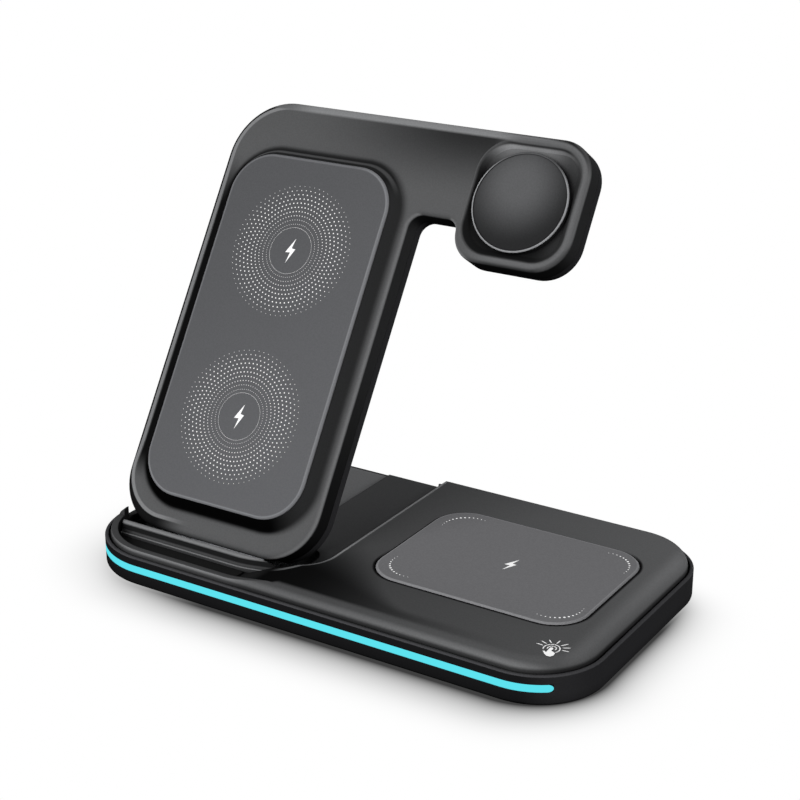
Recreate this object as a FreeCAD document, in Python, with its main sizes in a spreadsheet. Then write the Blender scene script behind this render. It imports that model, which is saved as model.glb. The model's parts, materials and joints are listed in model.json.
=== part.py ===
# Foldable three-device wireless charger: a flat base with an earbud pad and a light strip,
# and an L-shaped stand that leans on a hinge, with a phone pad on its leg and a watch disc on its arm.
# X runs along the base to the right, Y to the back, Z up. Lengths are in millimetres, angles in degrees.
import FreeCAD, Part
import math
import os
import Sketcher

SIZES = {
    # Base seen from above
    "base_length": 155.0,
    "base_width": 87.2,
    "corner_right": 18.8,
    "corner_left": 22.5,
    # Base heights and walls
    "foot_drop": 0.5,
    "side_height": 8.2,
    "floor_thickness": 1.8,
    "wall_thickness": 2.6,
    "rim_thickness": 1.0,
    "rim_edge": 0.3,
    "bottom_edge": 0.9,
    "ledge_depth": 1.7,
    "groove_width": 0.6,
    # Top cover
    "cover_rise": 3.3,
    "cover_roll": 3.2,
    "cover_skin": 1.8,
    "hollow_inset": 4.4,
    "hollow_gap": 6.8,
    "tub_reach": 5.8,
    "tub_inset": 3.2,
    "tub_skin": 1.2,
    "tub_gap": 0.5,
    # Bay that takes the folded leg, and the shallow channel along its floor
    "bay_margin": 5.3,
    "bay_lead": 2.65,
    "bay_corner": 11.0,
    "bay_depth": 3.82,
    "bay_slope": 50.0,
    "crest_depth": 0.45,
    "crest_slope": 68.0,
    "wing_reach": 20.1,
    "channel_margin_left": 18.1,
    "channel_margin_right": 16.15,
    "channel_depth": 0.8,
    # Phone trough with its front rim, and the slope up to the earbud side
    "rim_drop": 1.9,
    "slope_start": 5.2,
    "slope_run": 13.0,
    "slope_blend": 30.0,
    "trough_inset": 3.7,
    "trough_margin": 15.9,
    "trough_depth": 6.0,
    "ramp_length": 17.0,
    "rest_pad_thickness": 0.5,
    "rest_pad_gap": 0.6,
    # Ledge between the trough and the stand
    "ledge_inset": 6.5,
    "ledge_slant": 1.5,
    "ledge_tip_margin": 6.5,
    "ledge_taper": 11.0,
    "ledge_taper_round": 24.0,
    "ledge_setback": 16.55,
    "ledge_width": 2.85,
    "ledge_round": 2.1,
    "lip_width": 0.6,
    "lip_height": 0.7,
    "ledge_seat_gap": 0.25,
    # Light strip and its lamps
    "strip_height": 2.05,
    "strip_level": 3.84,
    "strip_depth": 1.8,
    "strip_end_right": 4.6,
    "strip_end_left": 22.6,
    "strip_end_round": 1.0,
    "lamp_pitch": 9.0,
    "lamp_width": 2.8,
    "lamp_height": 1.4,
    "lamp_board_inset_left": 27.5,
    "lamp_board_inset_right": 23.5,
    "lamp_board_height": 3.0,
    "lamp_board_thickness": 0.3,
    # Earbud pad and what lies under it
    "earbud_gap_left": 11.1,
    "earbud_inset_right": 10.5,
    "earbud_inset_front": 20.7,
    "earbud_inset_back": 19.0,
    "earbud_corner": 10.0,
    "earbud_thickness": 1.3,
    "earbud_proud": 0.3,
    "earbud_bevel": 0.4,
    "inlay_gap": 0.2,
    "coil_thickness": 1.2,
    "coil_core": 9.0,
    "coil_radius": 17.0,
    "ferrite_thickness": 0.8,
    "ferrite_margin": 1.0,
    # Board, socket and touch key in the base
    "board_inset_right": 34.5,
    "board_inset_back": 4.6,
    "board_length": 34.0,
    "board_width": 30.0,
    "board_thickness": 1.2,
    "board_post": 0.6,
    "board_post_radius": 2.0,
    "board_post_inset": 3.0,
    "chip_height": 0.6,
    "chip_length": 8.0,
    "chip_width": 7.0,
    "chip_margin": 5.0,
    "socket_width": 8.94,
    "socket_height": 3.26,
    "socket_round": 1.5,
    "socket_length": 7.4,
    "socket_wall": 0.32,
    "socket_depth": 6.2,
    "socket_setback": 0.4,
    "socket_gap": 0.25,
    "tongue_width": 6.7,
    "tongue_height": 0.7,
    "tongue_length": 4.8,
    "touch_inset_right": 14.5,
    "touch_inset_front": 16.1,
    "touch_radius": 5.0,
    "touch_thickness": 0.6,
    # Feet and screws of the base
    "foot_inset": 15.5,
    "foot_radius": 5.0,
    "foot_seat": 0.8,
    "foot_gap": 0.2,
    "base_screw_inset_x": 27.5,
    "base_screw_inset_y": 9.6,
    "post_radius": 3.0,
    "screw_radius": 1.1,
    "screw_head_radius": 2.2,
    "screw_head_height": 1.0,
    "screw_length": 4.6,
    "screw_tip_gap": 0.3,
    "screw_gap": 0.1,
    # Hinge
    "lean": 57.74,
    "toe_length": 6.92,
    "swing_gap": 0.58,
    "fold_gap": 0.35,
    "seam_gap": 0.35,
    "pocket_right_inset": 2.0,
    "pocket_corner": 5.0,
    "pin_radius": 2.0,
    "pin_overhang": 0.3,
    "pin_seat_gap": 0.02,
    "pin_running_gap": 0.05,
    "ear_radius": 4.2,
    "ear_round": 4.1,
    "ear_width": 6.0,
    "ear_foot": 1.2,
    "ear_gap": 0.7,
    "hinge_margin_left": 12.5,
    "hinge_margin_right": 10.9,
    "washer_thickness": 0.5,
    "washer_gap": 0.05,
    "washer_radius": 3.6,
    "leaf_thickness": 2.0,
    "leaf_length": 24.0,
    "leaf_gap": 0.4,
    # Stand outline; heights along the stand are measured from the hinge pin
    "stand_thickness": 10.17,
    "leg_inset": 1.0,
    "leg_width": 65.4,
    "leg_corner": 15.0,
    "stand_top": 121.35,
    "top_corner": 18.0,
    "neck_depth": 26.6,
    "neck_round": 4.0,
    "notch_round": 3.2,
    "head_notch": 35.1,
    "head_curve_width": 33.9,
    "head_curve": 8.4,
    "head_height": 37.1,
    "arm_reach": 49.4,
    "head_corner": 10.4,
    "front_edge": 1.7,
    "back_edge": 2.0,
    "shell_split": 4.1,
    "stand_wall": 2.2,
    "stand_back_skin": 1.8,
    "stand_front_skin": 3.0,
    "solid_foot": 9.0,
    "cavity_corner": 5.0,
    # Phone pad
    "pad_margin_left": 7.2,
    "pad_margin_right": 5.0,
    "pad_low": 2.94,
    "pad_margin_top": 17.05,
    "pad_corner": 12.3,
    "pad_thickness": 0.8,
    "pad_bevel": 0.45,
    "plateau_height": 2.8,
    "plateau_slope": 42.0,
    "plateau_rim": 0.1,
    "plateau_foot_round": 0.5,
    "plateau_skin": 1.5,
    "plateau_wall": 4.6,
    "upper_coil_drop": 27.0,
    "lower_coil_rise": 25.86,
    # Watch disc in its dish
    "disc_inset": 17.7,
    "disc_drop": 0.5,
    "disc_radius": 14.06,
    "disc_proud": 0.4,
    "disc_bevel": 0.25,
    "disc_gap": 0.35,
    "disc_hollow": 0.2,
    "disc_rim": 0.6,
    "dish_width": 33.4,
    "dish_margin": 1.95,
    "dish_corner_left": 10.0,
    "dish_corner_right": 8.0,
    "dish_depth": 1.5,
    "dish_slope": 55.0,
    "watch_coil_radius": 12.0,
    "watch_coil_core": 6.0,
    "magnet_radius": 5.0,
    "magnet_thickness": 2.0,
    # Board and screws in the stand
    "stand_board_reach": 3.1,
    "stand_board_length": 38.0,
    "stand_board_drop": 15.35,
    "stand_board_width": 11.0,
    "stand_board_post": 1.0,
    "leg_screw_margin": 7.0,
    "arm_screw_margin": 14.5,
    "arm_screw_inset": 37.3,
    "arm_screw_drop": 8.5,
    "stand_post_radius": 2.6,
    "stand_screw_radius": 0.9,
    "stand_screw_head": 1.9,
    "stand_screw_head_height": 0.9,
    "stand_screw_length": 4.2,
    # How far a cut runs out past the face it leaves by
    "run_out": 3.0,
}

# How near an edge counts as lying at a level, or beside a line
LEVEL_SLACK = 1e-4
EDGE_SLACK = 0.1

doc = FreeCAD.newDocument("FoldableCharger")
sheet = doc.addObject("Spreadsheet::Sheet", "Sizes")
for row, (alias, number) in enumerate(SIZES.items(), start=1):
    sheet.set(f"A{row}", alias)
    sheet.set(f"B{row}", str(number))
    sheet.setAlias(f"B{row}", alias)
doc.recompute()


def value(expression):
    """Number that an expression on the sheet gives."""
    return float(sheet.evalExpression(expression))


# Levels and places that follow from the sizes, as expressions
LEFT = "(-Sizes.base_length / 2)"
RIGHT = "(Sizes.base_length / 2)"
FRONT = "(-Sizes.base_width / 2)"
BACK = "(Sizes.base_width / 2)"
LEG_LEFT = f"({LEFT} + Sizes.leg_inset)"
LEG_RIGHT = f"({LEG_LEFT} + Sizes.leg_width)"
BAY_RIGHT = f"({LEG_RIGHT} + Sizes.bay_margin)"
TUB_RIGHT = f"({BAY_RIGHT} + Sizes.tub_reach)"
LEDGE_BACK = f"({FRONT} + Sizes.ledge_setback)"
LEDGE_FRONT = f"({LEDGE_BACK} - Sizes.ledge_width)"
LEDGE_LEFT = f"({LEFT} + Sizes.ledge_inset)"
LEDGE_TIP = f"({LEG_RIGHT} - Sizes.ledge_tip_margin)"
BAY_FRONT = f"({LEDGE_BACK} - Sizes.bay_lead)"
SLOPE_HIGH = f"({BAY_RIGHT} - Sizes.slope_start)"
TROUGH_LEFT = f"({LEFT} + Sizes.trough_inset)"
TROUGH_RIGHT = f"({LEG_RIGHT} - Sizes.trough_margin)"
BAY_RUN = "(Sizes.bay_depth * tan(Sizes.bay_slope))"
CREST_RUN = "(Sizes.crest_depth * (tan(Sizes.crest_slope) - tan(Sizes.bay_slope)))"
WING_BACK = f"({FRONT} + Sizes.wing_reach)"
LAMPS_LEFT = f"({LEFT} + Sizes.lamp_board_inset_left)"
LAMPS_RIGHT = f"({RIGHT} - Sizes.lamp_board_inset_right)"
EARBUD_LEFT = f"({BAY_RIGHT} + Sizes.earbud_gap_left)"
EARBUD_RIGHT = f"({RIGHT} - Sizes.earbud_inset_right)"
EARBUD_FRONT = f"({FRONT} + Sizes.earbud_inset_front)"
EARBUD_BACK = f"({BACK} - Sizes.earbud_inset_back)"
EARBUD_X = f"(({EARBUD_LEFT} + {EARBUD_RIGHT}) / 2)"
EARBUD_Y = f"(({EARBUD_FRONT} + {EARBUD_BACK}) / 2)"
BOARD_RIGHT = f"({RIGHT} - Sizes.board_inset_right)"
BOARD_LEFT = f"({BOARD_RIGHT} - Sizes.board_length)"
BOARD_BACK = f"({BACK} - Sizes.board_inset_back)"
BOARD_FRONT = f"({BOARD_BACK} - Sizes.board_width)"
SOCKET_X = f"(({BOARD_LEFT} + {BOARD_RIGHT}) / 2)"
TOUCH_X = f"({RIGHT} - Sizes.touch_inset_right)"
TOUCH_Y = f"({FRONT} + Sizes.touch_inset_front)"
FOOT_X = f"({RIGHT} - Sizes.foot_inset)"
FOOT_Y = f"({BACK} - Sizes.foot_inset)"
BASE_SCREW_X = f"({RIGHT} - Sizes.base_screw_inset_x)"
BASE_SCREW_Y = f"({BACK} - Sizes.base_screw_inset_y)"
HINGE_LEFT = f"({LEG_LEFT} + Sizes.hinge_margin_left)"
HINGE_RIGHT = f"({LEG_RIGHT} - Sizes.hinge_margin_right)"
FLOOR_TOP = "(Sizes.foot_drop + Sizes.floor_thickness)"
RIM_TOP = "(Sizes.foot_drop + Sizes.side_height)"
LEDGE_LEVEL = f"({RIM_TOP} - Sizes.ledge_depth)"
COVER_INSET = "(Sizes.rim_thickness + Sizes.groove_width)"
COVER_TOP = f"({RIM_TOP} + Sizes.cover_rise)"
COVER_CEILING = f"({COVER_TOP} - Sizes.cover_skin)"
RIM_LEVEL = f"({COVER_TOP} - Sizes.rim_drop)"
BAY_FLOOR = f"({COVER_TOP} - Sizes.bay_depth)"
TROUGH_FLOOR = f"({COVER_TOP} - Sizes.trough_depth)"
TUB_DECK = f"({TROUGH_FLOOR} - Sizes.tub_skin)"
TUB_BOTTOM = f"({FLOOR_TOP} + Sizes.tub_gap)"
POCKET_FLOOR = f"({TUB_BOTTOM} + Sizes.tub_skin)"
POCKET_LEFT = f"({LEFT} + Sizes.wall_thickness + Sizes.tub_gap + Sizes.tub_skin)"
POCKET_RIGHT = f"({LEG_RIGHT} - Sizes.pocket_right_inset)"
HINGE_Z = f"({POCKET_FLOOR} + Sizes.swing_gap + Sizes.toe_length)"
BACK_OFFSET = f"({HINGE_Z} - {BAY_FLOOR} - Sizes.fold_gap)"
FRONT_OFFSET = f"(Sizes.stand_thickness - {BACK_OFFSET})"
HINGE_Y = (f"({LEDGE_BACK} + Sizes.seam_gap + Sizes.toe_length * cos(Sizes.lean)"
           f" + {FRONT_OFFSET} * sin(Sizes.lean))")
SEAM_Z = (f"({HINGE_Z} - Sizes.toe_length * sin(Sizes.lean)"
          f" + {FRONT_OFFSET} * cos(Sizes.lean))")
POCKET_BACK = f"({HINGE_Y} + Sizes.ear_radius + Sizes.ear_gap)"
STRIP_BOTTOM = "(Sizes.foot_drop + Sizes.strip_level)"
STRIP_MIDDLE = f"({STRIP_BOTTOM} + Sizes.strip_height / 2)"
BOARD_BOTTOM = f"({FLOOR_TOP} + Sizes.board_post)"
BOARD_TOP = f"({BOARD_BOTTOM} + Sizes.board_thickness)"
SOCKET_Z = f"({BOARD_TOP} + Sizes.socket_height / 2)"
SOCKET_MOUTH = f"({BACK} - Sizes.socket_setback)"
SPLIT = f"(Sizes.shell_split - {BACK_OFFSET})"
STAND_FLOOR = f"(Sizes.stand_back_skin - {BACK_OFFSET})"
STAND_CEILING = f"({FRONT_OFFSET} - Sizes.stand_front_skin)"
STAND_BOARD_BOTTOM = f"({STAND_FLOOR} + Sizes.stand_board_post)"
TOE = "(-Sizes.toe_length)"
NECK = "(Sizes.stand_top - Sizes.neck_depth)"
HEAD_LOW = "(Sizes.stand_top - Sizes.head_height)"
HEAD_RIGHT = f"({LEG_RIGHT} + Sizes.arm_reach)"
HEAD_NOTCH = f"({HEAD_RIGHT} - Sizes.head_notch)"
HEAD_CURVE_X = f"({HEAD_RIGHT} - Sizes.head_curve_width)"
PAD_LEFT = f"({LEG_LEFT} + Sizes.pad_margin_left)"
PAD_RIGHT = f"({LEG_RIGHT} - Sizes.pad_margin_right)"
PAD_MIDDLE = f"(({PAD_LEFT} + {PAD_RIGHT}) / 2)"
PAD_HIGH = "(Sizes.stand_top - Sizes.pad_margin_top)"
UPPER_COIL_Y = f"({PAD_HIGH} - Sizes.upper_coil_drop)"
LOWER_COIL_Y = "(Sizes.pad_low + Sizes.lower_coil_rise)"
DISC_X = f"({HEAD_RIGHT} - Sizes.disc_inset)"
DISC_Y = "(Sizes.stand_top - Sizes.head_height / 2 - Sizes.disc_drop)"
DISH_LEFT = f"({HEAD_RIGHT} - Sizes.dish_width)"
STAND_BOARD_RIGHT = f"({LEG_RIGHT} + Sizes.stand_board_reach)"
STAND_BOARD_LEFT = f"({STAND_BOARD_RIGHT} - Sizes.stand_board_length)"
STAND_BOARD_LOW = "(Sizes.stand_top - Sizes.stand_board_drop)"
PLATEAU_TOP = f"({FRONT_OFFSET} + Sizes.plateau_height)"
PLATEAU_SPREAD = "(Sizes.plateau_rim + Sizes.plateau_height * tan(Sizes.plateau_slope))"
PLATEAU_CEILING = f"({PLATEAU_TOP} - Sizes.plateau_skin)"
DISH_FLOOR = f"({FRONT_OFFSET} - Sizes.dish_depth)"
NOTCH_REACH = "(Sizes.ear_radius + Sizes.ear_gap)"
NOTCH_LEFT = f"({HINGE_LEFT} - Sizes.ear_gap)"
NOTCH_RIGHT = f"({HINGE_RIGHT} + Sizes.ear_gap)"
WASHER_ROOM = "(Sizes.washer_thickness + 2 * Sizes.washer_gap)"
BARREL_LEFT = f"({HINGE_LEFT} + Sizes.ear_width + {WASHER_ROOM})"
BARREL_RIGHT = f"({HINGE_RIGHT} - Sizes.ear_width - {WASHER_ROOM})"
LEG_SCREW_Y = f"((Sizes.pad_low + {PAD_HIGH}) / 2)"
ARM_SCREW_Y = "(Sizes.stand_top - Sizes.arm_screw_drop)"
STAND_SCREW_PLACES = [
    (f"({LEG_LEFT} + Sizes.leg_screw_margin)", LEG_SCREW_Y),
    (f"({LEG_RIGHT} - Sizes.leg_screw_margin)", LEG_SCREW_Y),
    (f"({LEG_LEFT} + Sizes.arm_screw_margin)", ARM_SCREW_Y),
    (f"({HEAD_RIGHT} - Sizes.arm_screw_inset)", ARM_SCREW_Y),
]


def new_body(label):
    """Empty body whose label names the piece."""
    body = doc.addObject("PartDesign::Body", label)
    body.Label = label
    return body


def new_sketch(body, level, plane="XY_Plane"):
    """Sketch on one of the body's origin planes, moved along that plane's normal."""
    support = [feature for feature in body.Origin.OriginFeatures if feature.Role == plane][0]
    sketch = body.newObject("Sketcher::SketchObject", "Profile")
    sketch.AttachmentSupport = [(support, "")]
    sketch.MapMode = "FlatFace"
    sketch.setExpression("AttachmentOffset.Base.z", level)
    return sketch


def bind(sketch, constraint, expression):
    """Adds a dimension to a sketch and ties it to the sheet."""
    index = sketch.addConstraint(constraint)
    sketch.setExpression(f"Constraints[{index}]", expression)


def bind_point(sketch, geometry, end, x, y):
    """Places one point of a sketch from the sheet."""
    bind(sketch, Sketcher.Constraint("DistanceX", -1, 1, geometry, end, value(x)), x)
    bind(sketch, Sketcher.Constraint("DistanceY", -1, 1, geometry, end, value(y)), y)


def corner_turn(before, corner, after, radius):
    """Tangent points and centre of the arc that rounds a corner."""
    back = (before - corner).normalize()
    ahead = (after - corner).normalize()
    half_angle = back.getAngle(ahead) / 2
    reach = radius / math.tan(half_angle)
    centre = corner + (back + ahead).normalize() * (radius / math.sin(half_angle))
    return corner + back * reach, corner + ahead * reach, centre


def draw_outline(sketch, corners):
    """Closed outline of straight edges. Each corner has x, y and the radius that rounds it, or None."""
    count = len(corners)
    points = [FreeCAD.Vector(value(x), value(y), 0) for x, y, radius in corners]
    turns = []
    for index, (x, y, radius) in enumerate(corners):
        if radius is None:
            turns.append((points[index], points[index], None))
        else:
            after = points[(index + 1) % count]
            turns.append(corner_turn(points[index - 1], points[index], after, value(radius)))
    edges = []
    for index in range(count):
        segment = Part.LineSegment(turns[index][1], turns[(index + 1) % count][0])
        edges.append(sketch.addGeometry(segment))
    for index, (x, y, radius) in enumerate(corners):
        last, following = edges[index - 1], edges[index]
        if radius is None:
            sketch.addConstraint(Sketcher.Constraint("Coincident", last, 2, following, 1))
            bind_point(sketch, following, 1, x, y)
            continue
        entry, leave, centre = turns[index]
        turns_left = (entry - centre).cross(leave - centre).z > 0
        first, final = (entry - centre, leave - centre) if turns_left else (leave - centre, entry - centre)
        entry_end, leave_end = (1, 2) if turns_left else (2, 1)
        circle = Part.Circle(centre, FreeCAD.Vector(0, 0, 1), value(radius))
        sweep = [math.atan2(first.y, first.x), math.atan2(final.y, final.x)]
        arc = sketch.addGeometry(Part.ArcOfCircle(circle, sweep[0], sweep[1]))
        sketch.addConstraint(Sketcher.Constraint("Tangent", last, 2, arc, entry_end))
        sketch.addConstraint(Sketcher.Constraint("Tangent", arc, leave_end, following, 1))
        bind(sketch, Sketcher.Constraint("Radius", arc, value(radius)), radius)
        mark = sketch.addGeometry(Part.Point(points[index]), True)
        sketch.addConstraint(Sketcher.Constraint("PointOnObject", mark, 1, last))
        sketch.addConstraint(Sketcher.Constraint("PointOnObject", mark, 1, following))
        bind_point(sketch, mark, 1, x, y)


def draw_box(sketch, left, right, low, high, radius=None):
    """Rectangle, with all four corners rounded alike if a radius is given."""
    corners = [(left, low), (right, low), (right, high), (left, high)]
    draw_outline(sketch, [(x, y, radius) for x, y in corners])


def draw_circle(sketch, x, y, radius):
    """Circle placed and sized from the sheet."""
    centre = FreeCAD.Vector(value(x), value(y), 0)
    circle = sketch.addGeometry(Part.Circle(centre, FreeCAD.Vector(0, 0, 1), value(radius)))
    bind_point(sketch, circle, 3, x, y)
    bind(sketch, Sketcher.Constraint("Radius", circle, value(radius)), radius)


def extrude(body, kind, sketch, length, draft, backwards):
    """Pad or pocket of a sketch, with an optional draft angle that widens it."""
    feature = body.newObject(kind, kind.split("::")[1])
    feature.Profile = sketch
    feature.Reversed = backwards
    feature.setExpression("Length", length)
    if draft is not None:
        feature.setExpression("TaperAngle", draft)
    doc.recompute()
    return feature


def pad(body, sketch, length, draft=None, backwards=False):
    """Adds material along the sketch's normal, or against it."""
    return extrude(body, "PartDesign::Pad", sketch, length, draft, backwards)


def pocket(body, sketch, length, draft=None, backwards=False):
    """Cuts material against the sketch's normal, or along it, and makes sure that something was cut."""
    before = body.Shape.Volume
    feature = extrude(body, "PartDesign::Pocket", sketch, length, draft, backwards)
    if not feature.Shape.Volume < before:
        raise RuntimeError(f"a cut in {body.Label} removed nothing")
    return feature


def edges_at(body, level, wanted=lambda box: True):
    """Names of the edges that lie flat at one level and whose bounding box is wanted."""
    height = value(level)
    names = []
    for index, edge in enumerate(body.Shape.Edges, start=1):
        box = edge.BoundBox
        flat = abs(box.ZMin - height) < LEVEL_SLACK and abs(box.ZMax - height) < LEVEL_SLACK
        if flat and wanted(box):
            names.append(f"Edge{index}")
    return names


def dress_edges(body, kind, size, names):
    """Fillet or chamfer on named edges of what the body is so far."""
    base = body.Tip
    feature = body.newObject(kind, kind.split("::")[1])
    feature.Base = (base, names)
    feature.setExpression("Radius" if kind == "PartDesign::Fillet" else "Size", size)
    doc.recompute()


def round_edges(body, size, names):
    """Rounds edges."""
    dress_edges(body, "PartDesign::Fillet", size, names)


def bevel_edges(body, size, names):
    """Bevels edges."""
    dress_edges(body, "PartDesign::Chamfer", size, names)


def drill_up(body, places, level, radius, depth):
    """Round holes that start at one level and go up."""
    sketch = new_sketch(body, level)
    for x, y in places:
        draw_circle(sketch, x, y, radius)
    pocket(body, sketch, depth, backwards=True)


def four_corners(x, y):
    """The same place in all four quarters of the base."""
    return [(f"({side_x}{x})", f"({side_y}{y})") for side_x in ("", "-") for side_y in ("", "-")]


def base_outline(inset):
    """Outline of the base, seen from above, moved inwards."""
    left_radius = f"(Sizes.corner_left - {inset})"
    right_radius = f"(Sizes.corner_right - {inset})"
    return [
        (f"({LEFT} + {inset})", f"({FRONT} + {inset})", left_radius),
        (f"({RIGHT} - {inset})", f"({FRONT} + {inset})", right_radius),
        (f"({RIGHT} - {inset})", f"({BACK} - {inset})", right_radius),
        (f"({LEFT} + {inset})", f"({BACK} - {inset})", left_radius),
    ]


def stand_outline():
    """Outline of the L-shaped stand, seen from its front."""
    return [
        (LEG_LEFT, TOE, "Sizes.leg_corner"),
        (LEG_RIGHT, TOE, "Sizes.leg_corner"),
        (LEG_RIGHT, NECK, "Sizes.neck_round"),
        (HEAD_NOTCH, NECK, "Sizes.notch_round"),
        (HEAD_CURVE_X, HEAD_LOW, "Sizes.head_curve"),
        (HEAD_RIGHT, HEAD_LOW, "Sizes.head_corner"),
        (HEAD_RIGHT, "Sizes.stand_top", "Sizes.head_corner"),
        (LEG_LEFT, "Sizes.stand_top", "Sizes.top_corner"),
    ]


def stand_cavity():
    """Outline of the hollow inside the stand, one wall in from its outline."""
    wall = "Sizes.stand_wall"
    corner = "Sizes.cavity_corner"
    return [
        (f"({LEG_LEFT} + {wall})", "Sizes.solid_foot", corner),
        (f"({LEG_RIGHT} - {wall})", "Sizes.solid_foot", corner),
        (f"({LEG_RIGHT} - {wall})", f"({NECK} + {wall})", f"(Sizes.neck_round + {wall})"),
        (f"({HEAD_NOTCH} + {wall})", f"({NECK} + {wall})", f"(Sizes.notch_round + {wall})"),
        (f"({HEAD_CURVE_X} + {wall})", f"({HEAD_LOW} + {wall})", f"(Sizes.head_curve - {wall})"),
        (f"({HEAD_RIGHT} - {wall})", f"({HEAD_LOW} + {wall})", f"(Sizes.head_corner - {wall})"),
        (f"({HEAD_RIGHT} - {wall})", f"(Sizes.stand_top - {wall})", f"(Sizes.head_corner - {wall})"),
        (f"({LEG_LEFT} + {wall})", f"(Sizes.stand_top - {wall})", f"(Sizes.top_corner - {wall})"),
    ]


def phone_pad_box(sketch, spread):
    """Rounded rectangle of the phone pad, moved outwards."""
    draw_box(sketch, f"({PAD_LEFT} - {spread})", f"({PAD_RIGHT} + {spread})",
             f"(Sizes.pad_low - {spread})", f"({PAD_HIGH} + {spread})", f"(Sizes.pad_corner + {spread})")


def earbud_box(sketch, spread):
    """Rounded rectangle of the earbud pad, moved outwards."""
    draw_box(sketch, f"({EARBUD_LEFT} - {spread})", f"({EARBUD_RIGHT} + {spread})",
             f"({EARBUD_FRONT} - {spread})", f"({EARBUD_BACK} + {spread})",
             f"(Sizes.earbud_corner + {spread})")


def ledge_outline(front_left, back_left, spread, past_tip):
    """Ledge seen from above, curving back on the right to a tip, or past it by as many tapers again."""
    front = f"({LEDGE_FRONT} - {spread})"
    back = f"({LEDGE_BACK} + {past_tip} * (Sizes.ledge_width + {spread}))"
    return [
        (front_left, front, None),
        (f"({LEDGE_TIP} - Sizes.ledge_taper + {spread})", front, "Sizes.ledge_taper_round"),
        (f"({LEDGE_TIP} + {spread} + {past_tip} * Sizes.ledge_taper)", back, None),
        (back_left, back, None),
    ]


def hinge_pocket_box(sketch, spread):
    """Pocket that the stand's toe and the hinge turn in, seen from above, moved outwards."""
    draw_box(sketch, f"({POCKET_LEFT} - {spread})", f"({POCKET_RIGHT} + {spread})",
             f"({LEDGE_BACK} - {spread})", f"({POCKET_BACK} + {spread})", f"(Sizes.pocket_corner + {spread})")


def socket_box(sketch, spread):
    """Mouth of the socket, seen from behind, moved outwards."""
    half_width = f"(Sizes.socket_width / 2 + {spread})"
    half_height = f"(Sizes.socket_height / 2 + {spread})"
    draw_box(sketch, f"({SOCKET_X} - {half_width})", f"({SOCKET_X} + {half_width})",
             f"({SOCKET_Z} - {half_height})", f"({SOCKET_Z} + {half_height})",
             f"(Sizes.socket_round + {spread})")


def open_socket(body, depth):
    """Opening for the socket in the back wall of one half of the base."""
    sketch = new_sketch(body, f"(-{BACK} - Sizes.run_out)", "XZ_Plane")
    socket_box(sketch, "Sizes.socket_gap")
    pocket(body, sketch, f"Sizes.run_out + {depth} + Sizes.socket_gap", backwards=True)


def strip_span(sketch, far_side):
    """Region in front of, or behind, the line where the light strip ends on each side."""
    left = f"({LEFT} - Sizes.run_out)"
    right = f"({RIGHT} + Sizes.run_out)"
    left_end = f"({FRONT} + Sizes.strip_end_left)"
    right_end = f"({FRONT} + Sizes.strip_end_right)"
    steps = [(right, right_end, None), ("0", right_end, None), ("0", left_end, None), (left, left_end, None)]
    if far_side:
        far = f"({BACK} + Sizes.run_out)"
        steps = list(reversed(steps)) + [(right, far, None), (left, far, None)]
    else:
        near = f"({FRONT} - Sizes.run_out)"
        steps = steps + [(left, near, None), (right, near, None)]
    draw_outline(sketch, steps)


def add_base_bottom_shell():
    """Lower half of the base: walls, floor, slot for the light strip, seats for feet, screws and socket."""
    body = new_body("base_bottom_shell")
    sketch = new_sketch(body, "Sizes.foot_drop")
    draw_outline(sketch, base_outline("0"))
    pad(body, sketch, "Sizes.side_height")
    round_edges(body, "Sizes.bottom_edge", edges_at(body, "Sizes.foot_drop"))
    bevel_edges(body, "Sizes.rim_edge", edges_at(body, RIM_TOP))
    sketch = new_sketch(body, RIM_TOP)
    draw_outline(sketch, base_outline("Sizes.wall_thickness"))
    pocket(body, sketch, f"{RIM_TOP} - {FLOOR_TOP}")
    sketch = new_sketch(body, RIM_TOP)
    draw_outline(sketch, base_outline("Sizes.rim_thickness"))
    pocket(body, sketch, "Sizes.ledge_depth")
    sketch = new_sketch(body, RIM_TOP)
    draw_box(sketch, f"({LEFT} - Sizes.run_out)", f"({BAY_RIGHT} - {BAY_RUN})",
             WING_BACK, f"({BACK} + Sizes.run_out)")
    pocket(body, sketch, "Sizes.ledge_depth")
    sketch = new_sketch(body, STRIP_BOTTOM)
    strip_span(sketch, False)
    pocket(body, sketch, "Sizes.strip_height", backwards=True)
    open_socket(body, "Sizes.wall_thickness")
    drill_up(body, four_corners(FOOT_X, FOOT_Y), "Sizes.foot_drop",
             "Sizes.foot_radius + Sizes.foot_gap", "Sizes.foot_seat")
    screw_places = four_corners(BASE_SCREW_X, BASE_SCREW_Y)
    drill_up(body, screw_places, "Sizes.foot_drop", "Sizes.screw_radius + Sizes.screw_gap",
             "Sizes.floor_thickness")
    drill_up(body, screw_places, "Sizes.foot_drop", "Sizes.screw_head_radius + Sizes.screw_gap",
             "Sizes.screw_head_height")
    sketch = new_sketch(body, FLOOR_TOP)
    for x in (f"({BOARD_LEFT} + Sizes.board_post_inset)", f"({BOARD_RIGHT} - Sizes.board_post_inset)"):
        for y in (f"({BOARD_FRONT} + Sizes.board_post_inset)", f"({BOARD_BACK} - Sizes.board_post_inset)"):
            draw_circle(sketch, x, y, "Sizes.board_post_radius")
    pad(body, sketch, "Sizes.board_post")
    return body


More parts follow.
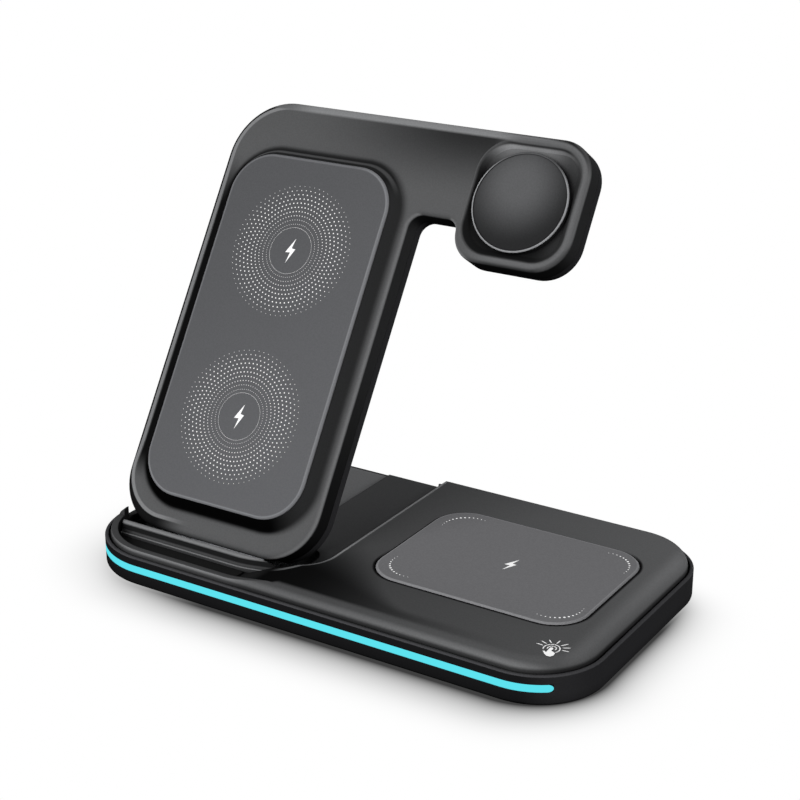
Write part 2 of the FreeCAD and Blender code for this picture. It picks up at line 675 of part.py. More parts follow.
def add_base_top_cover():
    """Upper half of the base: earbud side, bay for the folded leg, phone trough and hinge pocket."""
    body = new_body("base_top_cover")
    sketch = new_sketch(body, LEDGE_LEVEL)
    draw_outline(sketch, base_outline(COVER_INSET))
    pad(body, sketch, f"{COVER_TOP} - {LEDGE_LEVEL}")
    round_edges(body, "Sizes.cover_roll", edges_at(body, COVER_TOP))
    hollow_cover(body)
    open_socket(body, "Sizes.hollow_inset")
    cut_bay(body)
    cut_trough(body)
    sketch = new_sketch(body, COVER_TOP)
    earbud_box(sketch, "Sizes.inlay_gap")
    pocket(body, sketch, "Sizes.earbud_thickness - Sizes.earbud_proud")
    drill_up(body, four_corners(BASE_SCREW_X, BASE_SCREW_Y), FLOOR_TOP,
             "Sizes.screw_radius + Sizes.screw_gap",
             f"Sizes.foot_drop + Sizes.screw_length + Sizes.screw_tip_gap - {FLOOR_TOP}")
    return body


def hollow_cover(body):
    """Underside of the cover: hollow under the earbud side, thick under the trough, posts for the screws."""
    hollow_left = f"({BAY_RIGHT} + Sizes.hollow_gap)"
    right = f"({RIGHT} - Sizes.hollow_inset)"
    right_radius = "(Sizes.corner_right - Sizes.hollow_inset)"
    sketch = new_sketch(body, LEDGE_LEVEL)
    draw_outline(sketch, [
        (hollow_left, f"({FRONT} + Sizes.hollow_inset)", None),
        (right, f"({FRONT} + Sizes.hollow_inset)", right_radius),
        (right, f"({BACK} - Sizes.hollow_inset)", right_radius),
        (hollow_left, f"({BACK} - Sizes.hollow_inset)", None),
    ])
    pocket(body, sketch, f"{COVER_CEILING} - {LEDGE_LEVEL}", backwards=True)
    left = f"({LEFT} + Sizes.tub_inset)"
    left_radius = "(Sizes.corner_left - Sizes.tub_inset)"
    sketch = new_sketch(body, TUB_DECK)
    draw_outline(sketch, [
        (left, f"({FRONT} + Sizes.tub_inset)", left_radius),
        (TUB_RIGHT, f"({FRONT} + Sizes.tub_inset)", None),
        (TUB_RIGHT, f"({BACK} - Sizes.tub_inset)", None),
        (left, f"({BACK} - Sizes.tub_inset)", left_radius),
    ])
    pad(body, sketch, f"{LEDGE_LEVEL} - {TUB_DECK}")
    sketch = new_sketch(body, TUB_BOTTOM)
    hinge_pocket_box(sketch, "Sizes.tub_skin")
    pad(body, sketch, f"{TUB_DECK} - {TUB_BOTTOM}")
    for x, ceiling in ((BASE_SCREW_X, COVER_CEILING), (f"(-{BASE_SCREW_X})", TUB_DECK)):
        sketch = new_sketch(body, FLOOR_TOP)
        draw_circle(sketch, x, BASE_SCREW_Y, "Sizes.post_radius")
        draw_circle(sketch, x, f"(-{BASE_SCREW_Y})", "Sizes.post_radius")
        pad(body, sketch, f"{ceiling} - {FLOOR_TOP}")


def cut_bay(body):
    """Cuts for the folded leg: front rim sloping down to the left, bay with its crest, open left side."""
    left = f"({LEFT} - 2 * Sizes.run_out)"
    back = f"({BACK} + 2 * Sizes.run_out)"
    sketch = new_sketch(body, f"({BACK} + Sizes.run_out)", "XZ_Plane")
    draw_outline(sketch, [
        (left, RIM_LEVEL, None),
        (f"({SLOPE_HIGH} - Sizes.slope_run)", RIM_LEVEL, "Sizes.slope_blend"),
        (f"({SLOPE_HIGH} + Sizes.slope_run)", f"({COVER_TOP} + Sizes.rim_drop)", None),
        (left, f"({COVER_TOP} + Sizes.rim_drop)", None),
    ])
    pocket(body, sketch, f"{BACK} + Sizes.run_out + {BAY_FRONT} + Sizes.bay_depth")
    for spread, depth, slope in ((CREST_RUN, "Sizes.crest_depth", "-Sizes.crest_slope"),
                                 ("0", "Sizes.bay_depth", "-Sizes.bay_slope")):
        right = f"({BAY_RIGHT} + {spread})"
        front = f"({BAY_FRONT} - {spread})"
        sketch = new_sketch(body, COVER_TOP)
        draw_outline(sketch, [
            (TROUGH_LEFT, front, None),
            (right, front, f"(Sizes.bay_corner + {spread})"),
            (right, back, None),
            (TROUGH_LEFT, back, None),
        ])
        pocket(body, sketch, depth, draft=slope)
    sketch = new_sketch(body, COVER_TOP)
    draw_box(sketch, left, f"({TROUGH_LEFT} + {BAY_RUN})", WING_BACK, back)
    pocket(body, sketch, "Sizes.bay_depth")
    sketch = new_sketch(body, BAY_FLOOR)
    channel_left = f"({LEG_LEFT} + Sizes.channel_margin_left)"
    channel_right = f"({LEG_RIGHT} - Sizes.channel_margin_right)"
    draw_box(sketch, channel_left, channel_right, f"({POCKET_BACK} - Sizes.pocket_corner)", back)
    pocket(body, sketch, "Sizes.channel_depth")


def cut_trough(body):
    """Cuts for the phone's lower edge: trough, ramp on its right, seat of the ledge; and the hinge pocket."""
    front = f"({FRONT} + Sizes.trough_inset)"
    sketch = new_sketch(body, COVER_TOP)
    draw_outline(sketch, [
        (TROUGH_LEFT, front, "(Sizes.corner_left - Sizes.trough_inset)"),
        (TROUGH_RIGHT, front, None),
        (TROUGH_RIGHT, HINGE_Y, None),
        (TROUGH_LEFT, HINGE_Y, None),
    ])
    pocket(body, sketch, "Sizes.trough_depth")
    sketch = new_sketch(body, f"(-{front})", "XZ_Plane")
    draw_outline(sketch, [
        (TROUGH_RIGHT, TROUGH_FLOOR, None),
        (f"({TROUGH_RIGHT} + Sizes.ramp_length)", COVER_TOP, None),
        (TROUGH_RIGHT, COVER_TOP, None),
    ])
    pocket(body, sketch, f"({LEDGE_BACK} - {front})")
    sketch = new_sketch(body, COVER_TOP)
    seat_left = f"({TROUGH_RIGHT} - Sizes.run_out)"
    draw_outline(sketch, ledge_outline(seat_left, seat_left, "(Sizes.lip_width + Sizes.ledge_seat_gap)", 0))
    pocket(body, sketch, "Sizes.trough_depth")
    sketch = new_sketch(body, COVER_TOP)
    hinge_pocket_box(sketch, "0")
    pocket(body, sketch, f"{COVER_TOP} - {POCKET_FLOOR}")


def add_light_strip():
    """Translucent strip round the front of the base."""
    body = new_body("light_strip")
    sketch = new_sketch(body, STRIP_BOTTOM)
    draw_outline(sketch, base_outline("0"))
    pad(body, sketch, "Sizes.strip_height")
    sketch = new_sketch(body, STRIP_BOTTOM)
    draw_outline(sketch, base_outline("Sizes.strip_depth"))
    pocket(body, sketch, "Sizes.strip_height", backwards=True)
    sketch = new_sketch(body, STRIP_BOTTOM)
    strip_span(sketch, True)
    pocket(body, sketch, "Sizes.strip_height", backwards=True)
    for end in ("Sizes.strip_end_left", "Sizes.strip_end_right"):
        line = value(f"{FRONT} + {end}")
        for level in (STRIP_BOTTOM, f"{STRIP_BOTTOM} + Sizes.strip_height"):
            names = edges_at(body, level, lambda box: max(line - box.YMin, box.YMax - line) < LEVEL_SLACK)
            round_edges(body, "Sizes.strip_end_round", names)
    return body


def add_lamp_board():
    """Narrow board behind the light strip, with a row of lamps that reach into the slot."""
    body = new_body("lamp_board")
    wall_face = f"(-{FRONT} - Sizes.wall_thickness)"
    sketch = new_sketch(body, wall_face, "XZ_Plane")
    draw_box(sketch, LAMPS_LEFT, LAMPS_RIGHT,
             f"({STRIP_MIDDLE} - Sizes.lamp_board_height / 2)",
             f"({STRIP_MIDDLE} + Sizes.lamp_board_height / 2)")
    pad(body, sketch, "Sizes.lamp_board_thickness", backwards=True)
    sketch = new_sketch(body, wall_face, "XZ_Plane")
    for number in range(int(value(f"({LAMPS_RIGHT} - {LAMPS_LEFT}) / Sizes.lamp_pitch"))):
        middle = f"({LAMPS_LEFT} + Sizes.lamp_pitch * ({number} + 0.5))"
        draw_box(sketch, f"({middle} - Sizes.lamp_width / 2)", f"({middle} + Sizes.lamp_width / 2)",
                 f"({STRIP_MIDDLE} - Sizes.lamp_height / 2)", f"({STRIP_MIDDLE} + Sizes.lamp_height / 2)")
    pad(body, sketch, "Sizes.wall_thickness - Sizes.strip_depth")
    return body


def add_earbud_pad():
    """Soft pad let into the cover, standing a little proud of it."""
    body = new_body("earbud_pad")
    bottom = f"({COVER_TOP} + Sizes.earbud_proud - Sizes.earbud_thickness)"
    sketch = new_sketch(body, bottom)
    earbud_box(sketch, "0")
    pad(body, sketch, "Sizes.earbud_thickness")
    bevel_edges(body, "Sizes.earbud_bevel", edges_at(body, f"{COVER_TOP} + Sizes.earbud_proud"))
    return body


def add_coil(label, x, y, ceiling, radius, core):
    """Flat ring-shaped coil that hangs under a ceiling."""
    body = new_body(label)
    sketch = new_sketch(body, f"({ceiling} - Sizes.coil_thickness)")
    draw_circle(sketch, x, y, radius)
    draw_circle(sketch, x, y, core)
    pad(body, sketch, "Sizes.coil_thickness")
    return body


def add_ferrite(label, x, y, ceiling):
    """Square ferrite sheet under a coil."""
    body = new_body(label)
    half = "(Sizes.coil_radius + Sizes.ferrite_margin)"
    sketch = new_sketch(body, f"({ceiling} - Sizes.coil_thickness - Sizes.ferrite_thickness)")
    draw_box(sketch, f"({x} - {half})", f"({x} + {half})", f"({y} - {half})", f"({y} + {half})")
    pad(body, sketch, "Sizes.ferrite_thickness")
    return body


def add_disc(label, x, y, level, radius, thickness):
    """Plain round disc."""
    body = new_body(label)
    sketch = new_sketch(body, level)
    draw_circle(sketch, x, y, radius)
    pad(body, sketch, thickness)
    return body


def add_circuit_board(label, left, right, low, high, level):
    """Circuit board with two flat chips near its ends."""
    body = new_body(label)
    sketch = new_sketch(body, level)
    draw_box(sketch, left, right, low, high)
    pad(body, sketch, "Sizes.board_thickness")
    sketch = new_sketch(body, f"({level} + Sizes.board_thickness)")
    chip_low = f"(({low} + {high}) / 2 - Sizes.chip_width / 2)"
    chip_high = f"(({low} + {high}) / 2 + Sizes.chip_width / 2)"
    draw_box(sketch, f"({left} + Sizes.chip_margin)", f"({left} + Sizes.chip_margin + Sizes.chip_length)",
             chip_low, chip_high)
    draw_box(sketch, f"({right} - Sizes.chip_margin - Sizes.chip_length)", f"({right} - Sizes.chip_margin)",
             chip_low, chip_high)
    pad(body, sketch, "Sizes.chip_height")
    return body


def add_usb_socket():
    """Metal shell of the socket, with the tongue inside it."""
    body = new_body("usb_c_socket")
    sketch = new_sketch(body, f"(-{SOCKET_MOUTH})", "XZ_Plane")
    socket_box(sketch, "0")
    pad(body, sketch, "Sizes.socket_length")
    sketch = new_sketch(body, f"(-{SOCKET_MOUTH})", "XZ_Plane")
    socket_box(sketch, "(-Sizes.socket_wall)")
    pocket(body, sketch, "Sizes.socket_depth", backwards=True)
    sketch = new_sketch(body, f"(Sizes.socket_depth - {SOCKET_MOUTH})", "XZ_Plane")
    draw_box(sketch, f"({SOCKET_X} - Sizes.tongue_width / 2)", f"({SOCKET_X} + Sizes.tongue_width / 2)",
             f"({SOCKET_Z} - Sizes.tongue_height / 2)", f"({SOCKET_Z} + Sizes.tongue_height / 2)")
    pad(body, sketch, "Sizes.tongue_length", backwards=True)
    return body


def add_screw(label, x, y, bottom, radius, length, head_radius, head_height):
    """Screw with a flat head at its lower end."""
    body = new_body(label)
    sketch = new_sketch(body, bottom)
    draw_circle(sketch, x, y, head_radius)
    pad(body, sketch, head_height)
    sketch = new_sketch(body, bottom)
    draw_circle(sketch, x, y, radius)
    pad(body, sketch, length)
    return body


def add_phone_rest_pad():
    """Soft strip on the floor of the trough, where the phone's lower edge stands."""
    body = new_body("phone_rest_pad")
    right = f"({TROUGH_RIGHT} - Sizes.rest_pad_gap)"
    back = f"({LEDGE_FRONT} - Sizes.lip_width - Sizes.ledge_seat_gap)"
    sketch = new_sketch(body, TROUGH_FLOOR)
    draw_outline(sketch, base_outline("(Sizes.trough_inset + Sizes.rest_pad_gap)"))
    pad(body, sketch, "Sizes.rest_pad_thickness")
    for left, low in ((right, FRONT), (LEFT, back)):
        sketch = new_sketch(body, TROUGH_FLOOR)
        draw_box(sketch, left, RIGHT, low, BACK)
        pocket(body, sketch, "Sizes.rest_pad_thickness", backwards=True)
    return body


def add_phone_ledge():
    """Rounded ledge between trough and stand, with a thin lip along its foot and a pointed right end."""
    body = new_body("phone_ledge")
    sketch = new_sketch(body, TROUGH_FLOOR)
    back_left = f"({LEDGE_LEFT} - 2 * Sizes.ledge_slant)"
    draw_outline(sketch, ledge_outline(LEDGE_LEFT, back_left, "0", 1))
    pad(body, sketch, f"{SEAM_Z} - {TROUGH_FLOOR}")
    cut_line, left_end = value(LEDGE_BACK), value(LEDGE_LEFT)
    rolled = edges_at(body, SEAM_Z, lambda box: box.YMin < cut_line and box.XMax > left_end + EDGE_SLACK)
    round_edges(body, "Sizes.ledge_round", rolled)
    sketch = new_sketch(body, TROUGH_FLOOR)
    draw_outline(sketch, ledge_outline(LEDGE_LEFT, back_left, "Sizes.lip_width", 1))
    pad(body, sketch, "Sizes.rest_pad_thickness + Sizes.lip_height")
    sketch = new_sketch(body, TROUGH_FLOOR)
    draw_box(sketch, f"({LEFT} - Sizes.run_out)", RIGHT, LEDGE_BACK, BACK)
    pocket(body, sketch, f"{SEAM_Z} - {TROUGH_FLOOR}", backwards=True)
    return body


def add_hinge_bracket():
    """Bracket in the hinge pocket: a foot plate and two ears that hold the pin."""
    body = new_body("hinge_bracket")
    front = f"({HINGE_Y} - Sizes.ear_radius)"
    back = f"({HINGE_Y} + Sizes.ear_radius)"
    sketch = new_sketch(body, POCKET_FLOOR)
    draw_box(sketch, HINGE_LEFT, HINGE_RIGHT, front, back)
    pad(body, sketch, "Sizes.ear_foot")
    for left in (HINGE_LEFT, f"({HINGE_RIGHT} - Sizes.ear_width)"):
        sketch = new_sketch(body, left, "YZ_Plane")
        draw_outline(sketch, [
            (front, POCKET_FLOOR, None),
            (back, POCKET_FLOOR, None),
            (back, f"({HINGE_Z} + Sizes.ear_radius)", "Sizes.ear_round"),
            (front, f"({HINGE_Z} + Sizes.ear_radius)", "Sizes.ear_round"),
        ])
        pad(body, sketch, "Sizes.ear_width")
    sketch = new_sketch(body, HINGE_LEFT, "YZ_Plane")
    draw_circle(sketch, HINGE_Y, HINGE_Z, "(Sizes.pin_radius + Sizes.pin_seat_gap)")
    pocket(body, sketch, f"{HINGE_RIGHT} - {HINGE_LEFT}", backwards=True)
    return body


def add_hinge_pin():
    """Steel pin through both ears and the barrel of the stand's leaf."""
    body = new_body("hinge_pin")
    sketch = new_sketch(body, f"({HINGE_LEFT} - Sizes.pin_overhang)", "YZ_Plane")
    draw_circle(sketch, HINGE_Y, HINGE_Z, "Sizes.pin_radius")
    pad(body, sketch, f"{HINGE_RIGHT} - {HINGE_LEFT} + 2 * Sizes.pin_overhang")
    return body


def add_friction_washer(label, left):
    """Thin washer between an ear and the barrel."""
    body = new_body(label)
    sketch = new_sketch(body, left, "YZ_Plane")
    draw_circle(sketch, HINGE_Y, HINGE_Z, "Sizes.washer_radius")
    draw_circle(sketch, HINGE_Y, HINGE_Z, "(Sizes.pin_radius + Sizes.pin_running_gap)")
    pad(body, sketch, "Sizes.washer_thickness")
    return body


def add_hinge_leaf():
    """Leaf fixed inside the stand, with the barrel that turns on the pin."""
    body = new_body("hinge_leaf")
    sketch = new_sketch(body, BARREL_LEFT, "YZ_Plane")
    draw_circle(sketch, "0", "0", "Sizes.ear_radius")
    pad(body, sketch, f"{BARREL_RIGHT} - {BARREL_LEFT}")
    sketch = new_sketch(body, STAND_FLOOR)
    draw_box(sketch, BARREL_LEFT, BARREL_RIGHT, "0", "Sizes.leaf_length")
    pad(body, sketch, "Sizes.leaf_thickness")
    sketch = new_sketch(body, BARREL_LEFT, "YZ_Plane")
    draw_circle(sketch, "0", "0", "(Sizes.pin_radius + Sizes.pin_running_gap)")
    pocket(body, sketch, f"{BARREL_RIGHT} - {BARREL_LEFT}", backwards=True)
    return body


def add_stand_front_shell():
    """Front half of the stand: raised plateau for the phone pad, dish for the watch disc, hinge notch."""
    body = new_body("stand_front_shell")
    sketch = new_sketch(body, SPLIT)
    draw_outline(sketch, stand_outline())
    pad(body, sketch, f"{FRONT_OFFSET} - {SPLIT}")
    round_edges(body, "Sizes.front_edge", edges_at(body, FRONT_OFFSET))
    sketch = new_sketch(body, FRONT_OFFSET)
    phone_pad_box(sketch, PLATEAU_SPREAD)
    pad(body, sketch, "Sizes.plateau_height", draft="-Sizes.plateau_slope")
    left, right = value(f"{PAD_LEFT} - {PLATEAU_SPREAD}"), value(f"{PAD_RIGHT} + {PLATEAU_SPREAD}")
    low = value(f"Sizes.pad_low - {PLATEAU_SPREAD}")
    foot = edges_at(body, FRONT_OFFSET, lambda box: (
        box.XMin > left - EDGE_SLACK and box.XMax < right + EDGE_SLACK and box.YMin > low - EDGE_SLACK))
    round_edges(body, "Sizes.plateau_foot_round", foot)
    dish_low = f"({HEAD_LOW} + Sizes.dish_margin)"
    dish_high = "(Sizes.stand_top - Sizes.dish_margin)"
    dish_right = f"({HEAD_RIGHT} - Sizes.dish_margin)"
    sketch = new_sketch(body, FRONT_OFFSET)
    draw_outline(sketch, [
        (DISH_LEFT, dish_low, "Sizes.dish_corner_left"),
        (dish_right, dish_low, "Sizes.dish_corner_right"),
        (dish_right, dish_high, "Sizes.dish_corner_right"),
        (DISH_LEFT, dish_high, "Sizes.dish_corner_left"),
    ])
    pocket(body, sketch, "Sizes.dish_depth", draft="-Sizes.dish_slope")
    sketch = new_sketch(body, FRONT_OFFSET)
    draw_circle(sketch, DISC_X, DISC_Y, "(Sizes.disc_radius + Sizes.disc_gap)")
    pocket(body, sketch, "Sizes.dish_depth")
    sketch = new_sketch(body, SPLIT)
    draw_outline(sketch, stand_cavity())
    pocket(body, sketch, f"{STAND_CEILING} - {SPLIT}", backwards=True)
    sketch = new_sketch(body, SPLIT)
    phone_pad_box(sketch, "(-Sizes.plateau_wall)")
    pocket(body, sketch, f"{PLATEAU_CEILING} - {SPLIT}", backwards=True)
    sketch = new_sketch(body, SPLIT)
    draw_box(sketch, NOTCH_LEFT, NOTCH_RIGHT, f"({TOE} - Sizes.run_out)", NOTCH_REACH)
    pocket(body, sketch, f"{NOTCH_REACH} - {SPLIT}", backwards=True)
    sketch = new_sketch(body, STAND_FLOOR)
    for x, y in STAND_SCREW_PLACES:
        draw_circle(sketch, x, y, "Sizes.stand_post_radius")
    pad(body, sketch, f"{STAND_CEILING} - {STAND_FLOOR}")
    drill_up(body, STAND_SCREW_PLACES, STAND_FLOOR, "Sizes.stand_screw_radius + Sizes.screw_gap",
             "Sizes.stand_screw_length + Sizes.screw_tip_gap - Sizes.stand_back_skin")
    return body


def add_stand_back_shell():
    """Back half of the stand, with the hinge notch, the seat of the leaf and the screw holes."""
    body = new_body("stand_back_shell")
    sketch = new_sketch(body, f"(-{BACK_OFFSET})")
    draw_outline(sketch, stand_outline())
    pad(body, sketch, "Sizes.shell_split")
    round_edges(body, "Sizes.back_edge", edges_at(body, f"(-{BACK_OFFSET})"))
    sketch = new_sketch(body, SPLIT)
    draw_outline(sketch, stand_cavity())
    pocket(body, sketch, f"{SPLIT} - {STAND_FLOOR}")
    sketch = new_sketch(body, SPLIT)
    draw_box(sketch, NOTCH_LEFT, NOTCH_RIGHT, f"({TOE} - Sizes.run_out)", NOTCH_REACH)
    pocket(body, sketch, "Sizes.shell_split")
    sketch = new_sketch(body, SPLIT)
    draw_box(sketch, f"({BARREL_LEFT} - Sizes.leaf_gap)", f"({BARREL_RIGHT} + Sizes.leaf_gap)",
             "0", "(Sizes.solid_foot + Sizes.cavity_corner)")
    pocket(body, sketch, f"{SPLIT} - {STAND_FLOOR}")
    drill_up(body, STAND_SCREW_PLACES, f"(-{BACK_OFFSET})", "Sizes.stand_screw_radius + Sizes.screw_gap",
             "Sizes.stand_back_skin")
    drill_up(body, STAND_SCREW_PLACES, f"(-{BACK_OFFSET})", "Sizes.stand_screw_head + Sizes.screw_gap",
             "Sizes.stand_screw_head_height")
    sketch = new_sketch(body, STAND_FLOOR)
    middle = f"({STAND_BOARD_LOW} + Sizes.stand_board_width / 2)"
    draw_circle(sketch, f"({STAND_BOARD_LEFT} + Sizes.board_post_inset)", middle, "Sizes.board_post_radius")
    draw_circle(sketch, f"({STAND_BOARD_RIGHT} - Sizes.board_post_inset)", middle, "Sizes.board_post_radius")
    pad(body, sketch, "Sizes.stand_board_post")
    return body


def add_phone_pad():
    """Soft pad on the stand's plateau."""
    body = new_body("phone_pad")
    sketch = new_sketch(body, PLATEAU_TOP)
    phone_pad_box(sketch, "0")
    pad(body, sketch, "Sizes.pad_thickness")
    bevel_edges(body, "Sizes.pad_bevel", edges_at(body, f"{PLATEAU_TOP} + Sizes.pad_thickness"))
    return body


def add_watch_disc():
    """Charging disc for the watch: a thin rim round a shallow recess."""
    body = new_body("watch_disc")
    top = f"({FRONT_OFFSET} + Sizes.disc_proud)"
    sketch = new_sketch(body, DISH_FLOOR)
    draw_circle(sketch, DISC_X, DISC_Y, "Sizes.disc_radius")
    pad(body, sketch, "Sizes.dish_depth + Sizes.disc_proud")
    bevel_edges(body, "Sizes.disc_bevel", edges_at(body, top))
    sketch = new_sketch(body, top)
    draw_circle(sketch, DISC_X, DISC_Y, "(Sizes.disc_radius - Sizes.disc_rim)")
    pocket(body, sketch, "Sizes.disc_hollow")
    return body


def base_pieces():
    """Everything that stays on the table."""
    pieces = [
        add_base_bottom_shell(), add_base_top_cover(), add_light_strip(), add_lamp_board(), add_earbud_pad(),
        add_coil("earbud_coil", EARBUD_X, EARBUD_Y, COVER_CEILING, "Sizes.coil_radius", "Sizes.coil_core"),
        add_ferrite("earbud_ferrite", EARBUD_X, EARBUD_Y, COVER_CEILING),
        add_circuit_board("base_circuit_board", BOARD_LEFT, BOARD_RIGHT, BOARD_FRONT, BOARD_BACK,
                          BOARD_BOTTOM),
        add_usb_socket(),
        add_disc("touch_sensor", TOUCH_X, TOUCH_Y, f"({COVER_CEILING} - Sizes.touch_thickness)",
                 "Sizes.touch_radius", "Sizes.touch_thickness"),
        add_phone_rest_pad(), add_phone_ledge(), add_hinge_bracket(), add_hinge_pin(),
        add_friction_washer("friction_washer_left", f"({HINGE_LEFT} + Sizes.ear_width + Sizes.washer_gap)"),
        add_friction_washer("friction_washer_right", f"({BARREL_RIGHT} + Sizes.washer_gap)"),
    ]
    for number, (x, y) in enumerate(four_corners(FOOT_X, FOOT_Y), start=1):
        pieces.append(add_disc(f"rubber_foot_{number}", x, y, "0", "Sizes.foot_radius",
                               "Sizes.foot_drop + Sizes.foot_seat"))
    for number, (x, y) in enumerate(four_corners(BASE_SCREW_X, BASE_SCREW_Y), start=1):
        pieces.append(add_screw(f"base_screw_{number}", x, y, "Sizes.foot_drop", "Sizes.screw_radius",
                                "Sizes.screw_length", "Sizes.screw_head_radius", "Sizes.screw_head_height"))
    return pieces


def stand_pieces():
    """Everything that folds with the stand. Built lying flat round the pin's axis."""
    pieces = [
        add_stand_front_shell(), add_stand_back_shell(), add_phone_pad(), add_watch_disc(), add_hinge_leaf(),
    ]
    for side, y in (("upper", UPPER_COIL_Y), ("lower", LOWER_COIL_Y)):
        pieces.append(add_coil(f"{side}_phone_coil", PAD_MIDDLE, y, PLATEAU_CEILING, "Sizes.coil_radius",
                               "Sizes.coil_core"))
        pieces.append(add_ferrite(f"{side}_phone_ferrite", PAD_MIDDLE, y, PLATEAU_CEILING))
    pieces.append(add_coil("watch_coil", DISC_X, DISC_Y, STAND_CEILING, "Sizes.watch_coil_radius",
                           "Sizes.watch_coil_core"))
    pieces.append(add_disc("watch_magnet", DISC_X, DISC_Y, f"({STAND_CEILING} - Sizes.magnet_thickness)",
                           "Sizes.magnet_radius", "Sizes.magnet_thickness"))
    board_high = f"({STAND_BOARD_LOW} + Sizes.stand_board_width)"
    pieces.append(add_circuit_board("stand_circuit_board", STAND_BOARD_LEFT, STAND_BOARD_RIGHT,
                                    STAND_BOARD_LOW, board_high, STAND_BOARD_BOTTOM))
    for number, (x, y) in enumerate(STAND_SCREW_PLACES, start=1):
        pieces.append(add_screw(f"stand_screw_{number}", x, y, f"(-{BACK_OFFSET})",
                                "Sizes.stand_screw_radius", "Sizes.stand_screw_length",
                                "Sizes.stand_screw_head", "Sizes.stand_screw_head_height"))
    return pieces


base = base_pieces()
stand = stand_pieces()

# Stand each folding piece up on the hinge
lean = FreeCAD.Rotation(FreeCAD.Vector(1, 0, 0), value("Sizes.lean"))
upright = FreeCAD.Placement(FreeCAD.Vector(0, value(HINGE_Y), value(HINGE_Z)), lean)
for piece in stand:
    piece.Placement = upright
doc.recompute()

# Centre the whole over the origin
pieces = base + stand
extent = FreeCAD.BoundBox()
for piece in pieces:
    extent.add(piece.Shape.optimalBoundingBox(False))
to_middle = FreeCAD.Vector(-extent.Center.x, -extent.Center.y, 0)
for piece in pieces:
    piece.Placement.Base = piece.Placement.Base + to_middle
doc.recompute()

for item in doc.Objects:
    if "Invalid" in item.State or "Error" in item.State:
        raise RuntimeError(f"{item.Label} did not build")
os.makedirs("parts", exist_ok=True)
for piece in pieces:
    if piece.Shape.isNull() or not piece.Shape.isValid():
        raise RuntimeError(f"{piece.Label} is not a valid solid")
    piece.Shape.exportStep(f"parts/{piece.Label}.step")
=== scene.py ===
"""Looks of the foldable wireless charger: finishes, printed signs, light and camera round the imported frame."""

import json
import math

import bpy
from mathutils import Matrix, Vector

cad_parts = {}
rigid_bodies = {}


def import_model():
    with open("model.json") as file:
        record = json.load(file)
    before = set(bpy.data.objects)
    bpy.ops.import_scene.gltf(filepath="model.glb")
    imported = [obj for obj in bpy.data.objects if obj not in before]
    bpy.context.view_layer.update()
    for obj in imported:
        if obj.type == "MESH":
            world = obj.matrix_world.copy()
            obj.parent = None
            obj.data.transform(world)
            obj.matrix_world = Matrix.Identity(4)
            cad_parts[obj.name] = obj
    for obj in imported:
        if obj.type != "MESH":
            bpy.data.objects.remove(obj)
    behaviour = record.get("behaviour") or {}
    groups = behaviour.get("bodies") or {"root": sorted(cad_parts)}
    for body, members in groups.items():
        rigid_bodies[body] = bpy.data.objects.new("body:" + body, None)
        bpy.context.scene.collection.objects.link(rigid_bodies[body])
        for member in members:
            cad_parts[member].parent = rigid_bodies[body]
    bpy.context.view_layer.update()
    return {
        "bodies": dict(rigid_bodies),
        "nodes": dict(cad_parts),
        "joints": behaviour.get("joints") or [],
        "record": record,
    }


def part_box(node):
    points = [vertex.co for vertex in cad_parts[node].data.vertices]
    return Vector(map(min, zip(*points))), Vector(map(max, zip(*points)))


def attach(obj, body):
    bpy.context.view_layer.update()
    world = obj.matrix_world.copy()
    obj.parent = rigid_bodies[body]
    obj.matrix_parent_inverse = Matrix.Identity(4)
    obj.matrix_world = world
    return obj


MM = 0.001
FULL_TURN = 2 * math.pi

# Printed signs: millimetres and degrees on their faces, and the ink's lift off the face in metres.
PRINT_LIFT = 0.03 * MM
STROKE_END_SIDES = 12

HALO_OFFSETS = (23.73, -24.82)
HALO_SHIFT = -0.1
HALO_DOTS = 72
HALO_OUTER = 18.93
HALO_STEP = 1.24
HALO_DOT_RADII = (0.10, 0.15, 0.18, 0.20, 0.20, 0.19, 0.17, 0.14, 0.11, 0.09)
HALO_DOT_SIDES = 10
HALO_RING = 6.75
HALO_RING_WIDTH = 0.05
HALO_RING_SIDES = 72
BOLT = ((0.79, 3.68), (-1.52, -0.68), (0.06, -0.51), (-0.49, -3.73), (1.5, 0.58), (0.24, 0.73))

EARBUD_BOLT_CENTRE = (0.71, 0.29)
EARBUD_ARC_SHIFT = 0.6
EARBUD_ARC_CENTRE = (20.5, 13.1)
EARBUD_ARC_RADIUS = 7.4
EARBUD_ARC_DOTS = 13
EARBUD_ARC_MIDDLE = 45
EARBUD_ARC_STEP = 9.3
EARBUD_DOT_SMALL = 0.1
EARBUD_DOT_LARGE = 0.33
EARBUD_DOT_SIDES = 16

TOUCH_RAYS = (
    ((62.73, -32.32), (64.26, -32.35)),
    ((63.22, -30.70), (64.57, -31.16)),
    ((64.53, -29.29), (65.45, -30.16)),
    ((66.87, -28.35), (66.85, -29.80)),
    ((69.28, -28.85), (68.28, -30.21)),
    ((70.58, -30.19), (69.17, -31.00)),
    ((71.06, -31.95), (69.59, -32.16)),
)
TOUCH_DOME = (
    (65.15, -33.87), (64.89, -32.90), (65.10, -31.90), (65.70, -31.05), (66.60, -30.60),
    (67.60, -30.70), (68.45, -31.30), (68.94, -32.30), (68.94, -33.20), (68.66, -33.85),
)
TOUCH_ARC = (
    (65.93, -33.20), (65.88, -32.37), (66.22, -31.75), (66.88, -31.48),
    (67.59, -31.68), (67.95, -32.2), (67.97, -32.87),
)
TOUCH_HAND = (
    (65.55, -34.75), (65.95, -34.62), (66.55, -35.00), (66.45, -33.20), (66.40, -32.55),
    (66.75, -32.20), (67.20, -32.35), (67.35, -32.85), (67.30, -33.75), (68.30, -34.10),
    (68.75, -34.50), (68.82, -35.55), (68.40, -36.40), (67.45, -36.50), (66.60, -35.95),
)
TOUCH_LINE = 0.3
